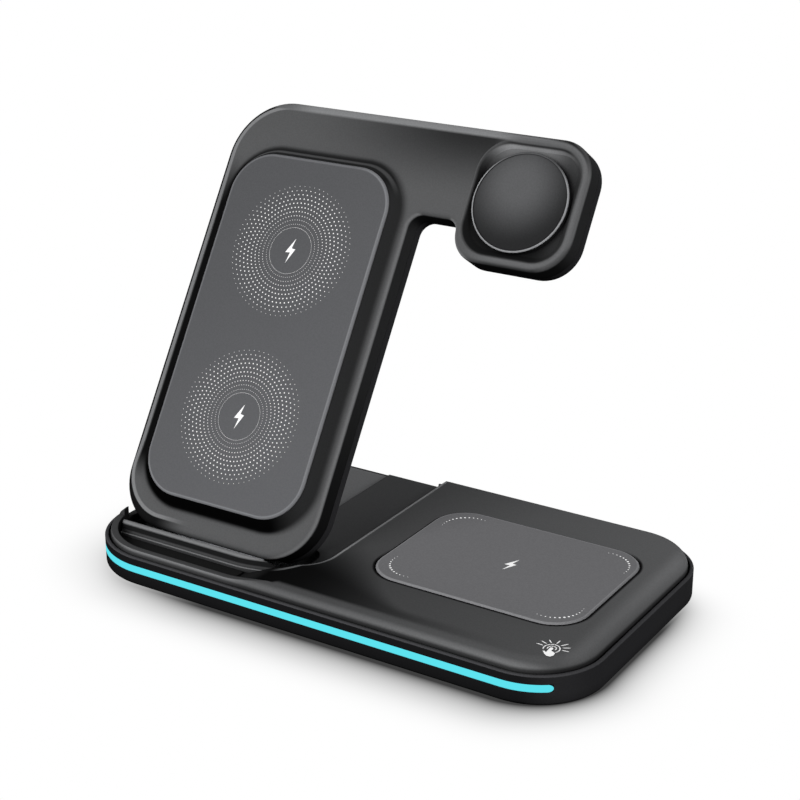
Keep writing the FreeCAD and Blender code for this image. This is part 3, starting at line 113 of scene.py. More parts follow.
TOUCH_SHIFT = -0.85

# Plates in millimetres from the middle of their pad, or of the base: middle, half size, corner radius.
PHONE_PLATE = ((0, 0), (26.6, 50.68), 12.3)
DISH_PLATE = ((63.33, 48.78), (15.72, 16.2), 9.0)
LEG_TOP_PLATE = ((0, 4.57), (33.8, 63.2), 18.0)
LEG_FOOT_PLATE = ((0, 4.57), (33.8, 63.2), 15.0)
DISC_PLATE = ((63.3, 48.68), (14.06, 14.06), 14.06)
EARBUD_PLATE = ((0, 0), (30.85, 23.75), 10.0)
BAY_PLATE = ((-91.95, 19.45), (50, 50), 11.0)
BASE_PLATE = ((0, 0), (77.5, 43.6), 22.0)

# Colour and roughness of each finish.
SHELL_COLOUR = (0.1195, 0.1208, 0.1234)
PAD_COLOUR = (0.194, 0.194, 0.2015)
FINISHES = {
    "shell": (SHELL_COLOUR, 0.5),
    "cover": (SHELL_COLOUR, 0.5),
    "stand": (SHELL_COLOUR, 0.5),
    "ledge": (SHELL_COLOUR, 0.5),
    # The wall finish is the shell's plastic darkened as painted shade, for walls turned away from the light.
    "wall": ((0.0136, 0.0136, 0.0145), 0.45),
    "pad": (PAD_COLOUR, 0.65),
    "phone_pad": ((0.13, 0.132, 0.139), 0.65),
    "earbud_pad": (PAD_COLOUR, 0.65),
    "disc": ((0.13, 0.1315, 0.1356), 0.5),
    "rubber": ((0.0204, 0.0204, 0.0204), 0.75),
    "ferrite": ((0.12, 0.12, 0.13), 0.7),
    "board": ((0.05, 0.22, 0.11), 0.4),
}
STEEL = ((0.55, 0.56, 0.58), 0.3)
COPPER = ((0.62, 0.28, 0.13), 0.35)
STRIP = ((0.01, 0.12, 0.14), 0.5)
STRIP_GLOW = (0.113, 0.74, 0.833)
STRIP_STRENGTH = 0.92
# The ink's glow is painted light that keeps the print white.
INK = ((0.85, 0.85, 0.85), 0.6)
INK_PAINTED_GLOW = (1, 1, 1)
INK_PAINTED_GLOW_STRENGTH = 0.3

# At a higher level, the black plastic mirrors the white background and turns grey. The sheen is painted into the
# colours by the shade groups instead.
SPECULAR_LEVEL = 0.0

# Surfaces: radius of the soft edges, grains per metre, strength of the grain, reach of the painted crevice shade.
PLAIN_SURFACE = {"Edge": 0.5 * MM, "Size": 2400.0, "Depth": 0.15, "Reach": 4.0 * MM}
METAL_SURFACE = {"Edge": 0.15 * MM, "Depth": 0.006, "Reach": 1.0 * MM}
OWN_SURFACES = {
    "stand": {"Edge": 0.9 * MM},
    "phone_pad": {"Edge": 0.35 * MM},
    "earbud_pad": {"Edge": 0.35 * MM},
    "disc": {"Edge": 0.2 * MM},
    "rubber": {"Size": 1600.0, "Depth": 0.3},
}
EDGE_SAMPLES = 6
CREVICE_SAMPLES = 8
# Painted shade in crevices: the share of the colour left where the surface is shut in.
CREVICE_SHADE = 0.15
GRAIN_DETAIL = 3
GRAIN_HEIGHT = 0.05 * MM
GRAIN_STOPS = (0.3, 0.7)
GRAIN_SHADES = (0.95, 1.05)
GRAIN_ROUGHNESS = 0.06

# Windings: pitch in millimetres, edge of a turn in shares of the pitch from its middle.
WIRE_PITCH = 0.8
WIRE_EDGE = (0.25, 0.5)
WIRE_GAP_SHADE = 0.15

# The mount on whose face each coil lies, and the nodes with a finish other than their slot's.
COIL_MOUNTS = {
    "earbud_coil": "earbud_face",
    "upper_phone_coil": "phone_face",
    "lower_phone_coil": "phone_face",
    "watch_coil": "phone_face",
}
NODE_FINISHES = {
    "base_bottom_shell": "wall",
    "stand_back_shell": "wall",
    "phone_rest_pad": "rubber",
    "base_top_cover": "cover",
    "stand_front_shell": "stand",
    "phone_pad": "phone_pad",
    "earbud_pad": "earbud_pad",
    "phone_ledge": "ledge",
    **{node: node for node in COIL_MOUNTS},
}

# Light: place, aim and size of each soft box in metres, its power in watts, and the even light all round.
SOFT_BOXES = {
    "key_box": ((-0.3, -0.8, 0.55), (0, 0, 0.05), (0.9, 0.6), 8.24),
    "back_box": ((-0.25, 0.7, 0.8), (0, 0, 0.05), (1.1, 0.3), 2.35),
    "side_box": ((0.85, -0.4, 0.4), (0, 0, 0.05), (0.15, 0.6), 2.94),
    "rear_fill": ((0.1, 0.8, 0.06), (0, 0, 0.06), (0.9, 0.1), 4),
}
WORLD_LIGHT = 0.07
FLOOR_REACH = 3.0
FLOOR_BOUNCE = (0.05, 0.05, 0.05)

# Contact shadow on the floor: shorter on the right, fainter on the left, gone at the back. Stops and reaches are
# in millimetres, depths are shares of white.
SHADOW_RIGHT = (50, 85)
SHADOW_REACH = (6.8, 4.6)
SHADOW_LEFT = (-75, -30)
SHADOW_DEPTH = (0.3, 0.95)
SHADOW_BACK = (5, 40)
SHADOW_END = (8, 24)

# Camera: place, lens and sensor in millimetres, nearest sight in metres.
CAMERA_PLACE = (238.91, -377.70, 225.08)
CAMERA_TURN = math.radians(32.199)
CAMERA_DIP = math.radians(21.299)
CAMERA_LENS = 80.46
CAMERA_SENSOR = 36
CAMERA_NEAR = 0.01


def row_mount(record, name):
    """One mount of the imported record, as its place and its outward direction."""
    found = next(mount for mount in record["mounts"] if mount["name"] == name)
    return Vector(found["pos_m"]), Vector(found["axis"])


def face_frame(place, outward):
    """Frame on a face: x to the right, z out of the face, lifted by the ink's thickness."""
    right = Vector((1, 0, 0))
    up = outward.cross(right).normalized()
    turn = Matrix((right, up, outward)).transposed().to_4x4()
    return Matrix.Translation(place + outward * PRINT_LIFT) @ turn


class Print:
    """Flat ink outlines in millimetres, gathered into one mesh."""

    def __init__(self):
        self.points = []
        self.faces = []

    def area(self, corners):
        """A filled outline."""
        start = len(self.points)
        self.points += [(x * MM, y * MM, 0.0) for x, y in corners]
        self.faces.append(list(range(start, len(self.points))))

    def dot(self, x, y, radius, sides):
        """A filled circle."""
        turns = [FULL_TURN * k / sides for k in range(sides)]
        self.area([(x + radius * math.cos(t), y + radius * math.sin(t)) for t in turns])

    def stroke(self, line, width):
        """A line of even width with round ends and joints."""
        for (x0, y0), (x1, y1) in zip(line, line[1:]):
            length = math.hypot(x1 - x0, y1 - y0)
            nx, ny = (y0 - y1) / length * width / 2, (x1 - x0) / length * width / 2
            self.area([(x0 + nx, y0 + ny), (x0 - nx, y0 - ny), (x1 - nx, y1 - ny), (x1 + nx, y1 + ny)])
        for x, y in line:
            self.dot(x, y, width / 2, STROKE_END_SIDES)

    def piece(self, name, matrix, finish, body):
        """The ink as a piece of the visual, on its body."""
        mesh = bpy.data.meshes.new(name)
        mesh.from_pydata(self.points, [], self.faces)
        mesh.transform(matrix)
        mesh.materials.append(finish)
        made = bpy.data.objects.new(name, mesh)
        bpy.context.scene.collection.objects.link(made)
        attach(made, body)


class Graph:
    """Nodes of one tree, wired as they are made; a source is a socket or a constant."""

    def __init__(self, tree):
        self.tree = tree

    def node(self, kind, **settings):
        """A new node."""
        made = self.tree.nodes.new(kind)
        for name, setting in settings.items():
            setattr(made, name, setting)
        return made

    def feed(self, socket, source):
        """Links a source to a socket, or sets the socket to a constant."""
        if isinstance(source, bpy.types.NodeSocket):
            self.tree.links.new(source, socket)
        else:
            socket.default_value = source

    def math(self, operation, first, second=0.0):
        """A number from one or two numbers."""
        made = self.node("ShaderNodeMath", operation=operation)
        self.feed(made.inputs[0], first)
        self.feed(made.inputs[1], second)
        return made.outputs["Value"]

    def times(self, first, *others):
        """The product of several numbers."""
        for other in others:
            first = self.math("MULTIPLY", first, other)
        return first

    def most(self, first, second):
        """The larger of two numbers."""
        return self.math("MAXIMUM", first, second)

    def apart(self, value, place):
        """How far a value is from a place, on either side."""
        return self.math("ABSOLUTE", self.math("SUBTRACT", value, place))

    def vector(self, operation, first, second=(0, 0, 0)):
        """A vector, or a length, from one or two vectors."""
        made = self.node("ShaderNodeVectorMath", operation=operation)
        self.feed(made.inputs[0], first)
        self.feed(made.inputs["Scale" if operation == "SCALE" else 1], second)
        return made.outputs["Value" if operation == "LENGTH" else "Vector"]

    def flat_length(self, vector):
        """The length of a vector within its face."""
        return self.vector("LENGTH", self.vector("MULTIPLY", vector, (1, 1, 0)))

    def ramp(self, value, start, end, low=0.0, high=1.0):
        """Soft step from low to high while the value goes from start to end."""
        made = self.node("ShaderNodeMapRange", interpolation_type="SMOOTHSTEP")
        self.feed(made.inputs["Value"], value)
        self.feed(made.inputs["From Min"], start)
        self.feed(made.inputs["From Max"], end)
        self.feed(made.inputs["To Min"], low)
        self.feed(made.inputs["To Max"], high)
        return made.outputs["Result"]

    def fall(self, value, start, end):
        """Soft step from 1 down to 0."""
        return self.ramp(value, start, end, 1.0, 0.0)

    def blend(self, share, low, high):
        """A value between low and high."""
        made = self.node("ShaderNodeMix", data_type="FLOAT")
        self.feed(made.inputs[0], share)
        self.feed(made.inputs[2], low)
        self.feed(made.inputs[3], high)
        return made.outputs[0]

    def parts(self, vector):
        """The three numbers of a vector."""
        made = self.node("ShaderNodeSeparateXYZ")
        self.feed(made.inputs[0], vector)
        return made.outputs

    def group(self, group, **sources):
        """The outputs of a node group."""
        made = self.node("ShaderNodeGroup", node_tree=group)
        for name, source in sources.items():
            self.feed(made.inputs[name], source)
        return made.outputs


def new_group(name, taken, given):
    """An empty node group: its graph, its input sockets and its output node's sockets."""
    group = bpy.data.node_groups.new(name, "ShaderNodeTree")
    for label, kind in taken.items():
        group.interface.new_socket(label, in_out="INPUT", socket_type="NodeSocket" + kind)
    for label, kind in given.items():
        group.interface.new_socket(label, in_out="OUTPUT", socket_type="NodeSocket" + kind)
    graph = Graph(group)
    return group, graph, graph.node("NodeGroupInput").outputs, graph.node("NodeGroupOutput").inputs


def surface_group():
    """Soft edges and fine grain as a normal, the grain itself, and crevice occlusion as a mask for painted shade.
    """
    sizes = {"Edge": "Float", "Size": "Float", "Depth": "Float", "Reach": "Float"}
    found = {"Normal": "Vector", "Grain": "Float", "Open": "Float"}
    group, graph, taken, given = new_group("moulded_surface", sizes, found)
    noise = graph.node("ShaderNodeTexNoise")
    noise.inputs["Detail"].default_value = GRAIN_DETAIL
    graph.feed(noise.inputs["Vector"], graph.node("ShaderNodeTexCoord").outputs["Object"])
    graph.feed(noise.inputs["Scale"], taken["Size"])
    soft = graph.node("ShaderNodeBevel", samples=EDGE_SAMPLES)
    graph.feed(soft.inputs["Radius"], taken["Edge"])
    bump = graph.node("ShaderNodeBump")
    bump.inputs["Distance"].default_value = GRAIN_HEIGHT
    graph.feed(bump.inputs["Strength"], taken["Depth"])
    graph.feed(bump.inputs["Height"], noise.outputs["Fac"])
    graph.feed(bump.inputs["Normal"], soft.outputs["Normal"])
    shut = graph.node("ShaderNodeAmbientOcclusion", samples=CREVICE_SAMPLES)
    graph.feed(shut.inputs["Distance"], taken["Reach"])
    graph.feed(given["Normal"], bump.outputs["Normal"])
    graph.feed(given["Grain"], graph.ramp(noise.outputs["Fac"], *GRAIN_STOPS))
    graph.feed(given["Open"], shut.outputs["AO"])
    return group


def face_group(name, place, outward):
    """Place in millimetres from a pad's middle and facing, both along the pad's own directions."""
    group, graph, _, given = new_group(name, {}, {"Place": "Vector", "Facing": "Vector"})
    source = graph.node("ShaderNodeTexCoord").outputs
    from_middle = graph.vector("SUBTRACT", source["Object"], tuple(place))
    millimetres = graph.vector("SCALE", from_middle, 1 / MM)
    for label, vector in (("Place", millimetres), ("Facing", source["Normal"])):
        turned = graph.node("ShaderNodeVectorRotate", rotation_type="X_AXIS")
        graph.feed(turned.inputs["Vector"], vector)
        turned.inputs["Angle"].default_value = math.atan2(outward.y, outward.z)
        graph.feed(given[label], turned.outputs["Vector"])
    return group


def plate_group():
    """Distance outward from the outline of a plate with round corners, in the plane of its face."""
    sizes = {"Place": "Vector", "Middle": "Vector", "Straight": "Vector", "Radius": "Float"}
    group, graph, taken, given = new_group("plate_distance", sizes, {"Distance": "Float"})
    offset = graph.vector("ABSOLUTE", graph.vector("SUBTRACT", taken["Place"], taken["Middle"]))
    corner = graph.vector("MAXIMUM", graph.vector("SUBTRACT", offset, taken["Straight"]))
    graph.feed(given["Distance"], graph.math("SUBTRACT", graph.flat_length(corner), taken["Radius"]))
    return group


def plate_distance(graph, group, place, plate):
    """Distance from one plate's outline, in millimetres."""
    (x, y), (half_x, half_y), radius = plate
    straight = (half_x - radius, half_y - radius, 0)
    return graph.group(group, Place=place, Middle=(x, y, 0), Straight=straight, Radius=radius)["Distance"]


# Shades below are shares of a finish's colour: painted shade and painted highlights. Each pair of stops is in
# millimetres along the face or from an outline, or in parts of the surface's direction where its name says
# facing. CREASE_FADE is in shares of a reach.

LEG_MIDDLE = (-20, 20)
LEG_LOWER_END = (-46, -36)
LEG_LOWER_INSET = 0.4


def leg_edge_distance(graph, plate, place, y):
    """Distance from the leg's outline, whose corners are rounder at the top than at the foot."""
    foot = plate_distance(graph, plate, place, LEG_FOOT_PLATE)
    top = plate_distance(graph, plate, place, LEG_TOP_PLATE)
    edge = graph.blend(graph.ramp(y, *LEG_MIDDLE), foot, top)
    return graph.math("ADD", edge, graph.ramp(y, *LEG_LOWER_END, 0.0, LEG_LOWER_INSET))


PLATEAU_RIGHT = (18, 27)
PLATEAU_TOP = (44, 51)
FOOT_SHADES = (0.02, 0.3)
FOOT_TOP_SHADE = 0.2
FOOT_STARTS = (2.7, 2.0)
FOOT_ENDS = (4.2, 4.7)
RIDGE_PLACE = 1.6
RIDGE_FADE = (0.2, 0.7)
RIDGE_SHADE = 0.9
BESIDE_SHADE_UPPER_END = (34, 52)
BESIDE_SHADE_LOWER_END = (-50, -40)
BESIDE_SHADE_SIDE = (-30, -27)
BESIDE_SHADE_FADE = (-2.6, -1.9)
BESIDE_SHADE_DEPTH = 0.06


def plateau_foot_shade(graph, x, y, from_pad, from_edge):
    """Painted shade on the plateau's wall and foot: soft on the right, narrow on the left, with a painted
    highlight on a ridge at the top.
    """
    right = graph.ramp(x, *PLATEAU_RIGHT)
    high = graph.ramp(y, *PLATEAU_TOP)
    depth = graph.most(graph.blend(right, *FOOT_SHADES), graph.times(high, FOOT_TOP_SHADE))
    foot = graph.ramp(from_pad, graph.blend(right, *FOOT_STARTS), graph.blend(right, *FOOT_ENDS), depth)
    ridge = graph.fall(graph.apart(from_pad, RIDGE_PLACE), *RIDGE_FADE)
    foot = graph.blend(graph.times(ridge, high), foot, RIDGE_SHADE)
    # Painted shade beside the plateau on the left, out to near the leg's edge.
    beside = graph.times(
        graph.fall(y, *BESIDE_SHADE_UPPER_END), graph.ramp(y, *BESIDE_SHADE_LOWER_END), graph.fall(x, *BESIDE_SHADE_SIDE)
    )
    return graph.blend(beside, foot, graph.ramp(from_edge, *BESIDE_SHADE_FADE, BESIDE_SHADE_DEPTH))


ROLL_FACING = (0.55, 0.98)
ROLL_SIDE_FACING = (0.1, 0.35)
ROLL_START = (3.5, 4.1)
ROLL_SHADE = 2.2
LEG_LEFT = (-20, -8)
GLINT_PLACE = -1.4
GLINT_FADE = (0.4, 0.8)
GLINT_SHADE = 2.1
OUTLINE_FADE = (-1.1, -0.8)
OUTLINE_SHADE = 0.08
TOP_BAND_START = (64.9, 65.8)
TOP_BAND_END = (64, 74)
TOP_BAND_SHADES = (1.2, 2.2)


def stand_edge_lines(graph, x, y, facing, from_pad, from_edge, lit):
    """Painted highlight lines on the stand's rolled edges and along its top, a painted glint near its left edge,
    and a painted dark outline on the left where the side wall is in shade.
    """
    aside, _, out = facing
    rolled = graph.times(
        graph.fall(out, *ROLL_FACING),
        graph.ramp(from_pad, *ROLL_START),
        graph.ramp(graph.math("ABSOLUTE", aside), *ROLL_SIDE_FACING),
    )
    lit = graph.blend(rolled, lit, ROLL_SHADE)
    left = graph.fall(x, *LEG_LEFT)
    glint = graph.fall(graph.apart(from_edge, GLINT_PLACE), *GLINT_FADE)
    lit = graph.blend(graph.times(glint, left), lit, GLINT_SHADE)
    lit = graph.blend(graph.times(graph.ramp(from_edge, *OUTLINE_FADE), left), lit, OUTLINE_SHADE)
    band = graph.times(graph.ramp(y, *TOP_BAND_START), graph.fall(x, *TOP_BAND_END))
    return graph.blend(band, lit, graph.ramp(x, *LEG_LEFT, *TOP_BAND_SHADES))


HEAD_START = (50, 60)
RIM_LOWER_END = (36, 44)
RIM_LOWER_INSET = 0.5
RIM_START = (-0.2, 0.5)
RIM_END = (1.3, 2.1)
RIM_SHADE = 1.35
BEYOND_RIM = (1.5, 2.4)
BEYOND_RIM_SHADE = 0.4


def dish_rim_lines(graph, x, y, from_dish, lit):
    """A painted highlight on the rim round the watch dish, with painted shade beyond it."""
    off = graph.math("ADD", from_dish, graph.ramp(y, *RIM_LOWER_END, RIM_LOWER_INSET, 0.0))
    head = graph.ramp(x, *HEAD_START)
    rim = graph.times(graph.ramp(off, *RIM_START), graph.fall(off, *RIM_END), head)
    lit = graph.blend(rim, lit, RIM_SHADE)
    beyond = graph.times(graph.ramp(off, *BEYOND_RIM), head)
    return graph.times(lit, graph.blend(beyond, 1.0, BEYOND_RIM_SHADE))


BOWL_HEIGHT = (55, 64)
BOWL_RIGHT = (70, 78)
BOWL_LOW_SHADES = (0.12, 0.35)
BOWL_HIGHLIGHT_PLACE = 61
BOWL_HIGHLIGHT_FADE = (4, 14)
BOWL_HIGH_SHADES = (1.9, 0.6)
BOWL_DOWN_FACING = (-0.6, -0.2)
BOWL_DOWN_SHADE = 1.8
LIP_PLACE = -0.1
LIP_FADE = (0.1, 0.5)
LIP_SHADE = 0.3


def dish_bowl_shade(graph, x, y, up, from_dish):
    """Painted shade inside the watch dish: a painted highlight at the top, painted shade below, and a dark
    painted lip.
    """
    low = graph.ramp(x, *BOWL_RIGHT, *BOWL_LOW_SHADES)
    high = graph.ramp(graph.apart(x, BOWL_HIGHLIGHT_PLACE), *BOWL_HIGHLIGHT_FADE, *BOWL_HIGH_SHADES)
    downward = graph.ramp(up, *BOWL_DOWN_FACING, BOWL_DOWN_SHADE, 1.0)
    lip = graph.ramp(graph.apart(from_dish, LIP_PLACE), *LIP_FADE, LIP_SHADE)
    return graph.times(graph.ramp(y, *BOWL_HEIGHT, low, high), downward, lip)


ARM_HEIGHT = (46, 66)
ARM_LENGTH = (-15, 45)
ARM_SHADE_LOSS = (0.1, 0.76)
DISH_FADE = (-0.9, 0.1)
SIDE_HEIGHT = (-50, 10)
SIDE_SHADES = (0.1, 0.32)
SIDE_DOWN_FACING = (-0.8, -0.3)
SIDE_DOWN_SHADE = 0.4
FRONT_FACING = (0.12, 0.5)


def stand_shade_group(face, plate):
    """Painted shade and highlights of the stand's front shell: plateau foot, arm, edges, dish and side walls."""
    group, graph, _, given = new_group("stand_shade", {}, {"Lit": "Float"})
    here = graph.group(face)
    x, y, _ = graph.parts(here["Place"])
    facing = graph.parts(here["Facing"])
    _, up, out = facing
    from_pad = plate_distance(graph, plate, here["Place"], PHONE_PLATE)
    from_dish = plate_distance(graph, plate, here["Place"], DISH_PLATE)
    from_edge = leg_edge_distance(graph, plate, here["Place"], y)
    arm = graph.times(graph.ramp(y, *ARM_HEIGHT), graph.ramp(x, *ARM_LENGTH, *ARM_SHADE_LOSS))
    lit = graph.times(plateau_foot_shade(graph, x, y, from_pad, from_edge), graph.math("SUBTRACT", 1.0, arm))
    lit = stand_edge_lines(graph, x, y, facing, from_pad, from_edge, lit)
    lit = dish_rim_lines(graph, x, y, from_dish, lit)
    bowl = dish_bowl_shade(graph, x, y, up, from_dish)
    front = graph.blend(graph.fall(from_dish, *DISH_FADE), lit, bowl)
    side = graph.times(
        graph.ramp(y, *SIDE_HEIGHT, *SIDE_SHADES), graph.ramp(up, *SIDE_DOWN_FACING, SIDE_DOWN_SHADE)
    )
    graph.feed(given["Lit"], graph.blend(graph.ramp(out, *FRONT_FACING), side, front))
    return group


DISC_HIGHLIGHT_PLACE = (61.5, 53.5, 0)
DISC_HIGHLIGHT_FADE = (3, 17)
DISC_HIGHLIGHT_SHADES = (1.0, 0.22)
DISC_RIM = (-0.55, -0.35)
DISC_RIM_HEIGHT = (54, 61)
DISC_RIM_SHARES = (1.0, 0.1)
DISC_RIM_SHADE = 3.1
DISC_FACING = (0.2, 0.6)
DISC_SIDE_SHADE = 0.1


def disc_shade_group(face, plate):
    """Painted shade of the watch disc: a painted highlight in the middle, and a painted highlight line at the
    rim.
    """
    group, graph, _, given = new_group("disc_shade", {}, {"Lit": "Float"})
    here = graph.group(face)
    _, y, _ = graph.parts(here["Place"])
    _, _, out = graph.parts(here["Facing"])
    # The glow here is a painted highlight in the middle of the disc, not light given off.
    from_highlight = graph.flat_length(graph.vector("SUBTRACT", here["Place"], DISC_HIGHLIGHT_PLACE))
    glow = graph.ramp(from_highlight, *DISC_HIGHLIGHT_FADE, *DISC_HIGHLIGHT_SHADES)
    rim = graph.ramp(plate_distance(graph, plate, here["Place"], DISC_PLATE), *DISC_RIM)
    line = graph.times(rim, graph.ramp(y, *DISC_RIM_HEIGHT, *DISC_RIM_SHARES))
    top = graph.blend(line, glow, DISC_RIM_SHADE)
    graph.feed(given["Lit"], graph.times(top, graph.ramp(out, *DISC_FACING, DISC_SIDE_SHADE)))
    return group


PHONE_PAD_SLOPE = (-80, 80)
PHONE_PAD_SHADES = (0.84, 1.1)
PHONE_RIM = (-1.0, -0.6)
PHONE_RIM_RIGHT = (12, 22)
PHONE_RIM_FOOT = (-46, -40)
PHONE_RIM_FAINT = 0.5
PHONE_RIM_SHADE = 2.0


def phone_pad_shade_group(face, plate):
    """Painted shade of the phone pad: lighter low and right, with a painted highlight line at its rim, strongest
    there too.
    """
    group, graph, _, given = new_group("phone_pad_shade", {}, {"Lit": "Float"})
    here = graph.group(face)
    x, y, _ = graph.parts(here["Place"])
    slope = graph.ramp(graph.math("SUBTRACT", x, y), *PHONE_PAD_SLOPE, *PHONE_PAD_SHADES)
    rim = graph.ramp(plate_distance(graph, plate, here["Place"], PHONE_PLATE), *PHONE_RIM)
    right = graph.ramp(x, *PHONE_RIM_RIGHT, PHONE_RIM_FAINT)
    foot = graph.ramp(y, *PHONE_RIM_FOOT, 1.0, PHONE_RIM_FAINT)
    graph.feed(given["Lit"], graph.blend(graph.times(rim, graph.most(right, foot)), slope, PHONE_RIM_SHADE))
    return group


EARBUD_RIM = (-0.8, -0.45)
EARBUD_SHADES = (1.0, 1.6)


def earbud_pad_shade_group(face, plate):
    """Painted shade of the earbud pad: a painted highlight line at its rim."""
    group, graph, _, given = new_group("earbud_pad_shade", {}, {"Lit": "Float"})
    rim = graph.ramp(plate_distance(graph, plate, graph.group(face)["Place"], EARBUD_PLATE), *EARBUD_RIM)
    graph.feed(given["Lit"], graph.blend(rim, *EARBUD_SHADES))
    return group


COVER_FRONT = -39.4
CREASE_LENGTH = (-46, -8)
CREASE_REACH = (36, 4)
CREASE_FADE = (0.25, 1.0)
CREASE_RIGHT = (-45, 25)
CREASE_SHADE = 0.08
CREASE_FRONT = (-1.4, 0.2)
TROUGH_RIGHT = (-63, -54)


def cover_crease_shade(graph, x, behind, in_trough):
    """Painted shadow along the cover's front crease, deepest beside the leg; the trough and the front edge stay
    plain.
    """
    reach = graph.ramp(x, *CREASE_LENGTH, *CREASE_REACH)
    deep = graph.ramp(x, *CREASE_RIGHT, CREASE_SHADE)
    crease = graph.ramp(graph.math("DIVIDE", behind, reach), *CREASE_FADE, deep)
    plain = graph.most(graph.fall(behind, *CREASE_FRONT), in_trough)
    return graph.blend(plain, crease, 1.0)


PAD_GAP = (0.5, 1.2)
PAD_GAP_SLANT = 0.6
PAD_GAP_LOWER = (-12, -2)
PAD_GAP_SHADE = 0.08
CREST_FADE = (0.6, 1.0)
CREST_START = (-56, -50)
CREST_FACING = (0.94, 0.995)
CREST_FRONT = (-28, -14)
CREST_SLOPE_SHADES = (1.8, 3.2)
CREST_TOP_SHADE = 1.3
TROUGH_RIM_PLACE = -3.4
TROUGH_RIM_FADE = (0.5, 1.2)
TROUGH_RIM_SHADE = 0.95


def cover_lines(graph, plate, place, out, behind, in_trough, lit):
    """Painted shade in the gap at the earbud pad, and painted highlight lines on the bay's crest and the trough's
    front rim.
    """
    x, y, _ = graph.parts(place)
    gap = graph.fall(plate_distance(graph, plate, place, EARBUD_PLATE), *PAD_GAP)
    lower = graph.ramp(graph.math("SUBTRACT", graph.times(x, PAD_GAP_SLANT), y), *PAD_GAP_LOWER)
    lit = graph.blend(graph.times(gap, lower), lit, PAD_GAP_SHADE)
    crest = graph.math("ABSOLUTE", plate_distance(graph, plate, place, BAY_PLATE))
    line = graph.times(graph.fall(crest, *CREST_FADE), graph.ramp(x, *CREST_START))
    slope = graph.ramp(y, *CREST_FRONT, *CREST_SLOPE_SHADES)
    lit = graph.blend(line, lit, graph.ramp(out, *CREST_FACING, slope, CREST_TOP_SHADE))
    rim = graph.times(graph.fall(graph.apart(behind, TROUGH_RIM_PLACE), *TROUGH_RIM_FADE), in_trough)
    return graph.blend(rim, lit, TROUGH_RIM_SHADE)


COVER_LENGTH = (-40, 45)
COVER_LENGTH_SHADES = (0.8, 1.12)
COVER_END = (33, 38.5)
COVER_END_SHADES = (1.0, 1.5)
COVER_DEPTH = (-25, 35)
COVER_DEPTH_SHADES = (0.76, 0.98)
FRONT_EDGE_FACING = (-1.0, -0.6)
FRONT_EDGE_SHADE = 2.2
TROUGH_EDGE_FACING = (-0.7, -0.2)
TROUGH_EDGE_SHADE = 1.5
CHANNEL_HEIGHT = (-4.75, -4.35)
CHANNEL_DEPTH = (0, 10)
CHANNEL_SHADES = (1.0, 2.4)
BAY_HEIGHT = (-5.8, -2.2)
BAY_DEPTH = (-22, -12)
BAY_SHADES = (0.35, 1.25)
UPRIGHT_FACING = (0.1, 0.4)
UPRIGHT_SHADE = 0.35


def cover_shade_group(face, plate):
    """Painted shade and highlights of the base's cover: front crease, pad gap, bay crest, edges, and the floors
    of bay and channel.
    """
    group, graph, _, given = new_group("cover_shade", {}, {"Lit": "Float"})
    here = graph.group(face)
    x, y, z = graph.parts(here["Place"])
    _, ahead, out = graph.parts(here["Facing"])
    behind = graph.math("SUBTRACT", y, COVER_FRONT)
    in_trough = graph.fall(x, *TROUGH_RIGHT)
    lit = graph.times(
        cover_crease_shade(graph, x, behind, in_trough), graph.ramp(x, *COVER_LENGTH, *COVER_LENGTH_SHADES)
    )
    lit = cover_lines(graph, plate, here["Place"], out, behind, in_trough, lit)
    trough_edge = graph.ramp(x, *TROUGH_RIGHT, TROUGH_EDGE_SHADE, 1.0)
    channel = graph.ramp(y, *CHANNEL_DEPTH, *CHANNEL_SHADES)
    bay = graph.ramp(y, *BAY_DEPTH, *BAY_SHADES)
    graph.feed(given["Lit"], graph.times(
        lit,
        graph.ramp(x, *COVER_END, *COVER_END_SHADES),
        graph.ramp(y, *COVER_DEPTH, *COVER_DEPTH_SHADES),
        graph.ramp(ahead, *FRONT_EDGE_FACING, FRONT_EDGE_SHADE, 1.0),
        graph.ramp(ahead, *TROUGH_EDGE_FACING, trough_edge, 1.0),
        graph.ramp(z, *CHANNEL_HEIGHT, channel, 1.0),
        graph.ramp(z, *BAY_HEIGHT, bay, 1.0),
        graph.ramp(out, *UPRIGHT_FACING, UPRIGHT_SHADE, 1.0),
    ))
    return group


LEDGE_TOP_FACING = (0.8, 0.99)
LEDGE_TOP_SHADES = (0.1, 2.7)
LEDGE_LOWER_FACING = (0.2, 0.45)
LEDGE_LOWER_SHADES = (0.75, 0.12)


def ledge_shade_group():
    """Painted shade of the phone ledge: a painted highlight along its top, painted shade across its middle,
    lighter below.
    """
    group, graph, _, given = new_group("ledge_shade", {}, {"Lit": "Float"})
    _, _, out = graph.parts(graph.node("ShaderNodeTexCoord").outputs["Normal"])
    upper = graph.ramp(out, *LEDGE_TOP_FACING, *LEDGE_TOP_SHADES)
    lower = graph.ramp(out, *LEDGE_LOWER_FACING, *LEDGE_LOWER_SHADES)
    graph.feed(given["Lit"], graph.most(upper, lower))
    return group


WALL_UP_FACING = (0.2, 0.8)
WALL_UP_SHADE = 5.5
WALL_RIGHT_FACING = (0.2, 0.9)
WALL_RIGHT_SHADE = 2.9
WALL_BACK_FACING = (0.45, 0.7)
WALL_UNDER_FACING = (-0.98, -0.92)
WALL_HIDDEN_SHADE = 6.5


